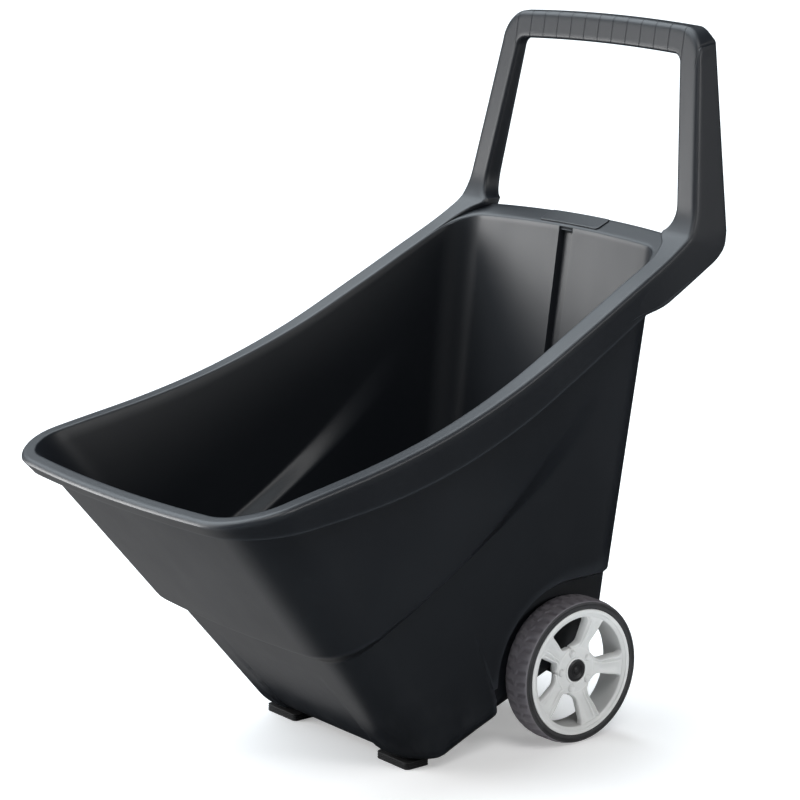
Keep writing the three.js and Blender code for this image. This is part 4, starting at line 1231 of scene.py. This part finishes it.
@dataclass
class Handle:
    """The loop handle: knees that sweep up out of the rim, tapering legs and an arched grip."""

    shape: CartShape
    leg_half: float = 212
    leg_width: float = 33
    leg_taper: float = 0.168
    leg_lean: float = 0.159
    leg_front_y: float = 310
    leg_depth: float = 54
    lip_foot: float = 25
    lip_top: float = 15
    grip_height: float = 34
    grip_arch: float = 8
    front_radius: float = 38
    back_radius: float = 20
    inner_radius: float = 11
    knee_round: float = 22
    knee_height: float = 34
    sweep_height: float = 30
    sweep_reach: float = 7
    edge: float = 7
    inner_edge: float = 5
    grip_back_edge: float = 9
    return_lip: float = 8
    rib: float = 2.5
    foot_rises: tuple[float, ...] = (1, 3, 5.5, 8.5, 12, 16, 20.5, 25.5, 31, 37)
    leg_steps: int = 14
    corner_steps: int = 10
    grip_steps: int = 14

    def front_y(self, z: float) -> float:
        """Returns where the front face lies at height z, rounding forward into the knee."""
        rise = z - self.shape.tub_z
        sweep = max(1 - max(rise, 0) / self.sweep_height, 0)
        return self.leg_front_y + self.leg_lean * rise - self.sweep_reach * sweep**2

    def back_y(self, z: float) -> float:
        """Returns where the back edge lies at height z."""
        rise = clamp((z - self.shape.tub_z) / (self.shape.handle_z - self.shape.tub_z))
        return lerp(self.leg_front_y + self.leg_depth, self.shape.grip_back_y, rise)

    def loop_edge(self, foot: float, top: float, radius: float) -> list[tuple[float, float]]:
        """Follows one edge of the loop.

        Args:
            foot: its half width at the legs' foot.
            top: its height in the middle of the grip.
            radius: the rounding of its corner.

        Returns:
            [x, z] points from the leg's foot to the middle of the grip.
        """

        def leg(z: float) -> float:
            """Returns the half width at height z along the leg."""
            return foot - self.leg_taper * (z - self.shape.tub_z)

        def crown(x: float) -> float:
            """Returns the height at x along the grip."""
            return top - self.grip_arch * (x / self.leg_half) ** 2

        turn_z = crown(leg(top)) - radius
        turn = leg(turn_z)
        foot_z = self.shape.tub_z + self.foot_rises[-1]
        points = [(leg(z), z) for z in (self.shape.tub_z + rise for rise in self.foot_rises[:-1])]
        points += [(leg(z), z) for z in spread(foot_z, turn_z, self.leg_steps)[:-1]]
        for up_share, in_share in quarter(self.corner_steps):
            x = turn - radius * in_share
            points.append((x, crown(x) - radius * up_share))
        last = points[-1][0]
        points += [(last * (1 - t), crown(last * (1 - t))) for t in spread(0, 1, self.grip_steps)[1:]]
        return points

    def knee(self) -> list[Section]:
        """Lays out the sections of the right knee, from its toe on the rim up to the leg."""
        y0, z0 = self.leg_front_y, self.shape.tub_z
        rim_z = self.shape.rim_z
        fronts = [
            Vector((-130, rim_z(y0 - 130) - z0 - 0.8)),
            Vector((-100, rim_z(y0 - 100) - z0 - 0.05)),
            Vector((-74, rim_z(y0 - 74) - z0 + 0.4)),
            Vector((-56, rim_z(y0 - 56) - z0 + 1.3)),
            Vector((-38, rim_z(y0 - 38) - z0 + 3.2)),
            Vector((-22, rim_z(y0 - 22) - z0 + 6)),
            Vector((-14, -6)),
            Vector((-9.5, -2.5)),
        ]
        backs = [(-116, -96), (-84, -87), (-50, -79), (-28, -68), (-6, -56), (18, -43), (38, -31), (50, -17)]
        sinks = [1.2, 0.5, 0.0, -0.15, -0.15, -0.15, -0.15, -0.15]
        shares = [-0.3, -0.3, -0.3, -0.3, -0.2, 0.1, 0.5, 0.75]
        sections = []
        for (y, z), (y_back, z_back), sink, share in zip(fronts, backs, sinks, shares):
            outer = self.shape.rim_half(y0 + y) - sink
            inner = self.leg_half - self.leg_width - self.knee_round * share
            rim_inner = self.shape.rim_half(y0 + y) - self.shape.rim_widths(y0 + y) + 1.5
            inner = lerp(rim_inner, inner, smoothstep(y, -60, -20))
            z_lip = rim_z(y0 + y + 6) - z0 - 3
            sections.append(
                Section(
                    Vector((outer, y0 + y, z0 + z)),
                    Vector((outer - 2.5 * smoothstep(-y, 30, 90), y0 + y_back, z0 + z_back)),
                    Vector((inner, y0 + y, z0 + z)),
                    Vector((inner, y0 + y + 6 + 20 * max(share, 0), z0 + z_lip)),
                )
            )
        return sections

    def flare(self, z: float) -> float:
        """Returns how far the inner side stands in at height z, rounding into the rim."""
        share = clamp((z - self.shape.tub_z) / self.knee_height)
        return self.knee_round * (1 - math.sqrt(1 - (1 - share) ** 2))

    def sections(self) -> list[Section]:
        """Lays out the whole handle, from the right knee over the grip to the left one."""
        top = self.shape.handle_z
        front = self.loop_edge(self.leg_half, top, self.front_radius)
        back = self.loop_edge(self.leg_half, top, self.back_radius)
        inner = self.loop_edge(self.leg_half - self.leg_width, top - self.grip_height, self.inner_radius)
        loop = []
        for (xf, zf), (xb, zb), (xi, zi) in zip(front, back, inner):
            rise = clamp((zi - self.shape.tub_z) / (top - self.grip_height - self.shape.tub_z))
            x = xi - self.flare(zi)
            lip = self.front_y(zi) + lerp(self.lip_foot, self.lip_top, rise)
            loop.append(
                Section(
                    Vector((xf, self.front_y(zf), zf)),
                    Vector((xb, self.back_y(zb), zb)),
                    Vector((x, self.front_y(zi), zi)),
                    Vector((x, lip, zi)),
                )
            )
        rough = self.knee() + loop[:1]
        keys = ("front", "back", "inner", "lip")
        guides = [spline_through([getattr(s, key) for s in rough], 3)[:-1] for key in keys]
        right = [Section(*corners) for corners in zip(*guides)] + loop
        return right + [s.flipped() for s in reversed(right[:-1])]

    def path(self, section: Section) -> list[Vector]:
        """Lays out the points of one section, from the return lip round the front to the inner lip.

        Args:
            section: the section.

        Returns:
            The points, as many at every section.
        """
        width = (section.front - section.inner).length
        depth = (section.front - section.back).length
        lip_depth = max((section.inner - section.lip).length, 1)
        grip = smoothstep(section.back.z, self.shape.handle_z - 24, self.shape.handle_z - 9)
        back_edge = lerp(1.6, self.grip_back_edge, grip)
        edge = lerp(5, self.edge, smoothstep(section.front.z, self.shape.tub_z - 20, self.shape.tub_z + 40))
        lip = min(self.return_lip, 0.3 * width)
        points = [section.at((lip + back_edge) / width, 1 - 1.5 / depth)]
        points += [section.at(back_edge * a / width, 1 - back_edge * b / depth) for a, b in quarter(5)]
        points += [section.at(0, 1 - s) for s in spread(back_edge / depth, 1 - edge / depth, 9)[1:-1]]
        points += [section.at(edge * b / width, edge * a / depth) for a, b in quarter(6)]
        inner_edge = min(self.inner_edge, 0.4 * lip_depth)
        points += [section.at(t, 0) for t in spread(edge / width, 1 - inner_edge / width, 6)[1:-1]]
        for a, b in quarter(5):
            points.append(section.at(1 - inner_edge * a / width, inner_edge * b / lip_depth))
        points += [section.at(1, s) for s in spread(inner_edge / lip_depth, 1, 4)[1:]]
        return points

    def rib_plate(self, section: Section, index: int) -> Piece:
        """Builds one cross rib inside the handle.

        Args:
            section: the section that it fills.
            index: its number.

        Returns:
            The rib.
        """
        width = (section.front - section.inner).length
        wall = self.shape.wall
        inset = (wall - 0.5) / width
        corners = [
            section.at(inset, 0.12),
            section.at(1 - inset, 0.12),
            section.at(1 - inset, 0.94),
            section.at(inset + 0.1, 0.86),
            section.at(inset, 0.86),
        ]
        plate = ring_of(f"handle_rib_{index}", corners, filled=True)
        apply_modifier(plate, "SOLIDIFY", thickness=self.rib * MM, offset=0)
        return plate

    def build(self) -> Piece:
        """Builds the handle.

        Returns:
            The hollow handle with its ribs.
        """
        sections = self.sections()
        sheet = sheet_of("handle_moulding", [self.path(s) for s in sections], closed=False)
        middle = sections[len(sections) // 2]
        faces_towards(sheet, middle.at(0.5, 0), Vector((0, -1, 0)))
        apply_modifier(sheet, "SOLIDIFY", thickness=self.shape.wall * MM * 0.75, offset=-1)
        half = len(sections) // 2
        first = half - self.grip_steps - self.corner_steps - self.leg_steps
        places = [first + 4, first + 8, first + 12, half - self.grip_steps, half - 7, half - 2]
        places += [2 * half - i for i in places]
        ribs = [self.rib_plate(sections[i], k) for k, i in enumerate(places)]
        return joined([sheet, *ribs], "handle_moulding")


# ---------------------------------------------------------------- wheels


@dataclass
class Wheel:
    """One wheel: ribbed tyre, five-spoked rim with a dished hub, and its cap, made on the right side."""

    shape: CartShape
    radius: float = 88
    outer_x: float = 191
    inner_x: float = 152
    rim_radius: float = 74.5
    rim_lip: float = 2
    barrel_radius: float = 67
    hub_x: float = 181
    hub_radius: float = 29
    cap_radius: float = 13.5
    spoke_count: int = 5
    spoke_turn: float = math.radians(-2)
    spoke_end: float = 69.5
    ridge_height: float = 3
    dip_depth: float = 1.6
    edge_fall: float = 2.2
    lug_radius: float = 4.6
    lug_ring: float = 22.5
    lug_height: float = 0.8
    shoulder: float = 4.5
    tread_waves: int = 40
    tread_depth: float = 1.7
    tyre_steps: int = 320

    @property
    def centre(self) -> tuple[float, float]:
        """Returns the axle's y and z."""
        return self.shape.axle_y, self.shape.axle_z

    def polar(self, x: float, radius: float, angle: float) -> Vector:
        """Returns a point by its place along the axle, radius and angle up from straight back."""
        y, z = self.centre
        return Vector((x, y + radius * math.cos(angle), z + radius * math.sin(angle)))

    def tread(self, x: float, angle: float) -> float:
        """Returns how deep the tread's waves cut at a place."""
        middle = (self.outer_x + self.inner_x) / 2
        half = (self.outer_x - self.inner_x) / 2
        across = abs(x - middle) / half
        phase = angle * self.tread_waves + 3.2 * across + 0.5 * math.sin(6 * across)
        wave = smoothstep(math.sin(phase), 0.15, 0.9)
        fade = smoothstep(across, 0.06, 0.2) * (1 - smoothstep(across, 0.78, 0.92))
        seam = 1 - smoothstep(abs(across - 0.02), 0.0, 0.05)
        return self.tread_depth * (wave * fade + 0.4 * seam)

    def tyre(self) -> Piece:
        """Builds the tyre, with a grey tread and black sides."""
        x0, x1, r = self.inner_x, self.outer_x, self.radius
        seat, ledge, shoulder = self.rim_radius + 0.3, self.rim_radius + self.rim_lip + 0.3, self.shoulder
        crown = [(r, x) for x in spread(x0 + 2.5 * shoulder, x1 - 2.5 * shoulder, 14)]
        rise = [(r - shoulder, 0.0), (r - 0.62 * shoulder, 0.12), (r - 0.4 * shoulder, 0.4)]
        rise += [(r - 0.2 * shoulder, 1.0), (r - 0.06 * shoulder, 1.7)]
        profile = [(seat, x0 + 1), (seat + 1, x0 + 0.2), (seat + 2.4, x0), (r - shoulder - 2, x0)]
        profile += [(radius, x0 + step * shoulder) for radius, step in rise] + crown
        profile += [(radius, x1 - step * shoulder) for radius, step in reversed(rise)]
        profile += [(r - shoulder - 1.2, x1), (r - shoulder - 1.6, x1 - 0.5), (r - shoulder - 2, x1)]
        profile += [(ledge + 0.8, x1), (ledge + 0.2, x1 - 0.3), (ledge, x1 - 3), (seat, x1 - 3)]
        ring = spun("tyre_right_looks", profile, self.centre, self.tyre_steps)
        y0, z0 = self.centre
        for vert in ring.data.vertices:
            x, y, z = vert.co / MM
            radius = math.hypot(y - y0, z - z0)
            if radius > r - 0.5 * shoulder:
                angle = math.atan2(z - z0, y - y0)
                vert.co = self.polar(x, radius - self.tread(x, angle), angle) * MM
        for rubber in (TYRE_RUBBER, SIDEWALL_RUBBER):
            ring.data.materials.append(material_of(rubber))
        for face in ring.data.polygons:
            x, y, z = face.center / MM
            side = min(x - x0, x1 - x) < 0.9 or math.hypot(y - y0, z - z0) < seat + 3
            face.material_index = int(side)
        return smooth(ring, 40)

    def spoke_half(self, radius: float) -> float:
        """Returns half a spoke's width: it widens outwards and spreads into the hub and the rim."""
        half = lerp(8.5, 13.5, smoothstep(radius, 26, 64))
        half += 9 * clamp((radius - (self.spoke_end - 11)) / 11) ** 2.4
        return half + 8 * clamp((self.hub_radius + 9 - radius) / 12) ** 2

    def spoke_relief(self, v: float, radius: float) -> float:
        """Returns how far a spoke's face stands proud.

        Args:
            v: the place across the spoke, from -1 to 1.
            radius: the distance from the axle.

        Returns:
            Two ridges and a shallow dip between them and the trailing edge, which falls away.
        """
        end = self.spoke_end
        ridge = math.exp(-(((v - 0.78) / 0.13) ** 2)) + 0.75 * math.exp(-(((v - 0.34) / 0.1) ** 2))
        ridge *= smoothstep(radius, 24, 36) * (1 - smoothstep(radius, end - 9, end - 1))
        dip = smoothstep(0.2 - abs(v + 0.35), -0.35, 0.2) * smoothstep(radius, 30, 42)
        dip *= 1 - smoothstep(radius, end - 10, end - 2)
        fall = clamp((abs(v) - 0.86) / 0.14) ** 2
        return self.ridge_height * ridge - self.dip_depth * dip - self.edge_fall * fall

    def spoke(self, index: int) -> Piece:
        """Builds one spoke: a broad smooth face with two ridges along its leading side.

        Args:
            index: its number, counted round from straight back.

        Returns:
            The spoke.
        """
        start, end = self.cap_radius + 1.5, self.spoke_end
        turn = self.spoke_turn + index / self.spoke_count * 2 * math.pi
        face = [(v, None) for v in spread(-1, 1, 26)]
        back = [(1.03, 4.5), *((v, 7.5) for v in (1.0, 0.6, 0.0, -0.6, -1.0)), (-1.03, 4.5)]
        columns = []
        for radius in spread(start, end, 30):
            half = self.spoke_half(radius)
            base = self.hub_x - 1.3 + 8.5 * smoothstep(radius, self.hub_radius - 7, end - 4)
            column = []
            for v, depth in face + back:
                x = base + self.spoke_relief(v, radius) if depth is None else base - depth
                across = v * half
                column.append(self.polar(x, math.hypot(radius, across), turn + math.atan2(across, radius)))
            column.append(column[0].copy())
            columns.append(column)
        arm = sheet_of(f"spoke_{index}", columns, closed=False)
        return closed_up(arm, fill=True)

    def lug(self, index: int) -> Piece:
        """Builds one small dome on the hub, between two spokes."""
        turn = self.spoke_turn + (index + 0.5) / self.spoke_count * 2 * math.pi
        deselect_all()
        bpy.ops.mesh.primitive_uv_sphere_add(segments=20, ring_count=10, radius=self.lug_radius * MM)
        dome = named(f"lug_{index}")
        spot = self.polar(self.hub_x, self.lug_ring, turn)
        for vert in dome.data.vertices:
            local = vert.co / MM
            vert.co = (spot + Vector((self.lug_height * local.z, local.x, local.y))) * MM
        return dome

    def rim(self) -> Piece:
        """Builds the silver rim."""
        r, b, x0, x1 = self.rim_radius, self.barrel_radius, self.inner_x, self.outer_x
        ring = [
            (b + 1.5, x0 + 1), (r, x0 + 1), (r, x1 - 2.7), (r + self.rim_lip, x1 - 2.7),
            (r + self.rim_lip, x1 - 1), (r + self.rim_lip - 0.3, x1 - 0.35), (r + self.rim_lip - 1, x1),
            (r - 2.4, x1), (r - 3, x1 - 0.25), (r - 3.4, x1 - 1), (r - 4.1, x1 - 1.1), (r - 4.6, x1 - 1.4),
            (b + 0.8, x1 - 2.1), (b + 0.2, x1 - 2.6), (b, x1 - 3.4), (b + 0.6, x1 - 12), (b + 1.2, x0 + 4),
        ]
        pocket, h = self.cap_radius + 0.3, self.hub_x
        hub = [
            (pocket, h - 9), (pocket, h + 0.9), (pocket + 0.5, h + 1.2), (pocket + 1.6, h + 1.2),
            (pocket + 2.2, h + 0.8), (pocket + 2.6, h + 0.1), (pocket + 3.4, h), (self.hub_radius - 3, h),
            (self.hub_radius - 0.9, h - 0.6), (self.hub_radius, h - 2.4), (self.hub_radius, h - 6.4),
            (self.hub_radius - 1, h - 7), (18.5, h - 7.6), (17.2, h - 9), (17, x0 + 2.6), (16.6, x0 + 2.3),
            (8.4, x0 + 2.3), (8.4, h - 9),
        ]
        parts = [spun("rim_ring", ring, self.centre, 144), spun("rim_hub", hub, self.centre, 96)]
        parts += [self.spoke(i) for i in range(self.spoke_count)]
        parts += [self.lug(i) for i in range(self.spoke_count)]
        return dress(smooth(joined(parts, "wheel_rim_right_looks"), 38), WHEEL_PLASTIC)

    def cap(self) -> Piece:
        """Builds the black cap over the axle's end."""
        face, r, base = self.hub_x + 2, self.cap_radius, self.hub_x - 8.7
        profile = [
            (r - 1.5, base), (r, base), (r, face - 2), (r - 0.3, face - 1), (r - 1, face - 0.3),
            (r - 2, face), (r - 4.6, face), (r - 5.2, face - 0.3), (r - 5.6, face - 1), (r - 6.2, face - 1.3),
            (4.2, face - 1.1), (3.8, face - 0.7), (3.2, face - 0.4), (1.2, face - 0.3), (0.01, face - 0.3),
            (0.01, face - 2.2), (r - 1.5, face - 2.2),
        ]
        return dress(smooth(spun("hub_cap_right_looks", profile, self.centre, 64), 40), BLACK_PLASTIC)

    def build(self) -> None:
        """Builds both wheels and hands them over."""
        made = [
            (self.tyre(), "tyre", "tyre"),
            (self.rim(), "wheel_rim", "silver_plastic"),
            (self.cap(), "hub_cap", "black_plastic"),
        ]
        for piece, stem, slot in made:
            place_piece(piece, "wheel_right", [f"{stem}_right"])
            twin = mirrored(piece, f"{stem}_left_looks")
            place_piece(twin, "wheel_left", [f"{stem}_left"])


# ---------------------------------------------------------------- feet, badge and axle


@dataclass
class Foot:
    """A push-in rubber foot with a rippled pad, made on the right side."""

    centre: tuple[float, float] = (110, -43.5)
    stem_y: float = -31.5
    width: float = 59
    length: float = 35
    height: float = 9
    corner: float = 6
    stem_radius: float = 4
    head_radius: float = 6
    floor_top: float = 13.3

    def outline(self, inset: float, z: float) -> list[Vector]:
        """Returns the pad's rounded outline at one level."""
        radius = self.corner - inset
        points = []
        for k, (side_x, side_y) in enumerate(((1, 1), (-1, 1), (-1, -1), (1, -1))):
            x = self.centre[0] + side_x * (self.width / 2 - self.corner)
            y = self.centre[1] + side_y * (self.length / 2 - self.corner)
            for angle in spread(k * math.pi / 2, (k + 1) * math.pi / 2, 6):
                points.append(Vector((x + radius * math.cos(angle), y + radius * math.sin(angle), z)))
        return points

    def build(self) -> None:
        """Builds both feet and hands them over."""
        levels = [(1.2, 0), (0.3, 0.4), (0, 1)]
        for k in range(3):
            z = 1.8 + 2.2 * k
            levels += [(0, z), (0.5, z + 0.3), (1.1, z + 0.8), (1.1, z + 1.1), (0.5, z + 1.6), (0, z + 1.9)]
        levels += [(0, 8.2), (0.4, 8.8), (1.2, 9)]
        rings = [self.outline(inset, z) for inset, z in levels]
        columns = [[ring[i] for ring in rings] for i in range(len(rings[0]))]
        pad = sheet_of("foot_pad", columns, closed=True)
        closed_up(pad, fill=True)
        parts = [pad]
        top = self.floor_top + 0.3
        for radius, low, high in ((self.stem_radius, 8, top + 1), (self.head_radius, top, top + 3)):
            middle = (self.centre[0], self.stem_y, (low + high) / 2)
            parts.append(bevelled(rod("foot_stem", radius, middle, high - low), 0.8))
        foot = dress(smooth(joined(parts, "foot_right_looks"), 34), FOOT_RUBBER)
        place_piece(foot, "cart", ["foot_right"])
        place_piece(mirrored(foot, "foot_left_looks"), "cart", ["foot_left"])


@dataclass
class Badge:
    """The blank plate on the back of the rim."""

    shape: CartShape
    half: float = 53
    thickness: float = 1.5
    gap: float = 0.3
    corner: float = 3

    def build(self) -> None:
        """Builds the plate and hands it over."""
        columns = []
        for x in spread(-self.half, self.half, 40):
            bow = 15 * (x / 212) ** 2
            near_end = clamp(self.corner - (self.half - abs(x)), 0, self.corner)
            inset = self.corner - math.sqrt(self.corner**2 - near_end**2)
            back = self.shape.rim_back_y - bow - 5 - inset
            front = self.shape.rim_back_y - bow - 30 + 3 + inset
            lift = self.gap + self.thickness
            columns.append([Vector((x, y, self.shape.rim_z(y) + lift)) for y in spread(front, back, 6)])
        plate = sheet_of("badge_plate_looks", columns, closed=False)
        faces_towards(plate, Vector((0, 310, 600)), Vector((0, 0, 1)))
        apply_modifier(plate, "SOLIDIFY", thickness=self.thickness * MM, offset=-1)
        bevelled(plate, 0.5, 50)
        place_piece(dress(smooth(plate, 34), BODY_PLASTIC), "cart", ["badge_plate"])


class NodeFinishes(Enum):
    """Nodes of the frame that stay as they are, by the start of their names, and their finishes."""

    AXLE = ("axle", STEEL)
    CLAMP = ("axle_clamp", BLACK_PLASTIC)
    SCREW = ("clamp_screw", STEEL)
    WASHER = ("axle_washer", STEEL)
    NUT = ("push_nut", STEEL)
    SPACER = ("wheel_spacer", BLACK_PLASTIC)
    BUSH = ("hub_bush", BUSH_PLASTIC)


def dress_nodes() -> None:
    """Gives the frame's own fittings their finishes."""
    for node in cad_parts:
        fits = [kind for kind in NodeFinishes if node.startswith(kind.value[0])]
        if fits:
            best = max(fits, key=lambda kind: len(kind.value[0]))
            dress(bpy.data.objects[node], best.value[1])
            LOG.info("%s: %s", node, best.value[1].name)


# ---------------------------------------------------------------- studio


def facing(direction: Vector) -> Euler:
    """Returns the turn that makes a lamp or a camera look in a direction."""
    return direction.to_track_quat("-Z", "Y").to_euler()


@dataclass
class Studio:
    """A pale floor, soft lights and the camera."""

    eye: Point = (2.5495, -1.9594, 1.1166)
    target: Point = (0.0043, 0.0354, 0.4028)
    lens: float = 126
    floor_colour: Colour = (0.9, 0.9, 0.9)
    floor_glow: float = 0.35
    sky_power: float = 4.8
    sky_colour: Colour = (0.86, 0.94, 1.0)
    lamps: tuple[tuple[str, Point, Point, float, float], ...] = (
        ("floor_glow", (-0.55, -0.75, 0.02), (-0.55, -0.75, 1), 1.3, 2.6),
        ("front_low", (-1.9, -1.9, 0.2), (0, -0.25, 0.35), 1.5, 85),
        ("front_high", (-0.9, -2.8, 1.6), (0, 0, 0.5), 1.6, 22),
        ("side", (3.4, 1.4, 1.2), (0, 0, 0.1), 1.2, 38),
        ("inside", (1.5, -0.5, 2.2), (-0.15, 0, 0.3), 1.2, 20),
    )

    def floor(self) -> None:
        """Lays the floor."""
        deselect_all()
        bpy.ops.mesh.primitive_plane_add(size=60)
        ground = named("studio_floor")
        tree = Tree("studio_floor")
        tone = tree.noise(0.6, 2)
        base = tree.mix(tone, self.floor_colour, tuple(c * 1.01 for c in self.floor_colour))
        inputs = {"Base Color": base, "Roughness": 0.9, "Specular IOR Level": 0.0}
        inputs |= {"Emission Color": base, "Emission Strength": self.floor_glow}
        ground.data.materials.append(tree.surface(inputs))
        ground.visible_glossy = False

    def lights(self) -> None:
        """Hangs the lights and sets the pale surroundings."""
        for name, place, aim, size, power in self.lamps:
            deselect_all()
            bpy.ops.object.light_add(type="AREA", location=place)
            lamp = bpy.context.object
            lamp.name = name
            lamp.data.size = size
            lamp.data.energy = power
            lamp.visible_camera = False
            lamp.rotation_euler = facing(Vector(aim) - Vector(place))
        deselect_all()
        bpy.ops.object.light_add(type="SUN", location=(0, 0, 4))
        sun = bpy.context.object
        sun.name = "sky"
        sun.data.energy = self.sky_power
        sun.data.color = self.sky_colour
        sun.data.angle = math.radians(70)
        sun.rotation_euler = facing(Vector((0.48, 0.2, -0.85)))
        world = bpy.data.worlds.new("surroundings")
        bpy.context.scene.world = world
        world.use_nodes = True
        world.node_tree.nodes["Background"].inputs["Color"].default_value = (1, 1, 1, 1)
        world.node_tree.nodes["Background"].inputs["Strength"].default_value = 1.0
        world.cycles_visibility.diffuse = False
        world.cycles_visibility.glossy = False

    def camera(self) -> None:
        """Sets up the camera."""
        deselect_all()
        bpy.ops.object.camera_add(location=self.eye)
        camera = bpy.context.object
        camera.name = "camera"
        camera.rotation_euler = facing(Vector(self.target) - Vector(self.eye))
        camera.data.lens = self.lens
        camera.data.clip_end = 100
        bpy.context.scene.camera = camera

    def build(self) -> None:
        """Builds the whole studio."""
        self.floor()
        self.lights()
        self.camera()
        bpy.context.scene.view_settings.view_transform = "Standard"


# ---------------------------------------------------------------- whole cart


def main() -> None:
    """Builds every piece, in order."""
    logging.basicConfig(level=logging.INFO, format="%(name)s %(message)s")
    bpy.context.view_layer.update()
    studio = Studio()
    studio.build()
    shape = CartShape()
    tub = Tub(shape)
    moulding = joined([tub.build(), Handle(shape).build()], "tub_looks")
    place_piece(tub.finish(moulding), "cart", ["tub"])
    Wheel(shape).build()
    Foot().build()
    Badge(shape).build()
    dress_nodes()


if __name__ == "__main__":
    main()
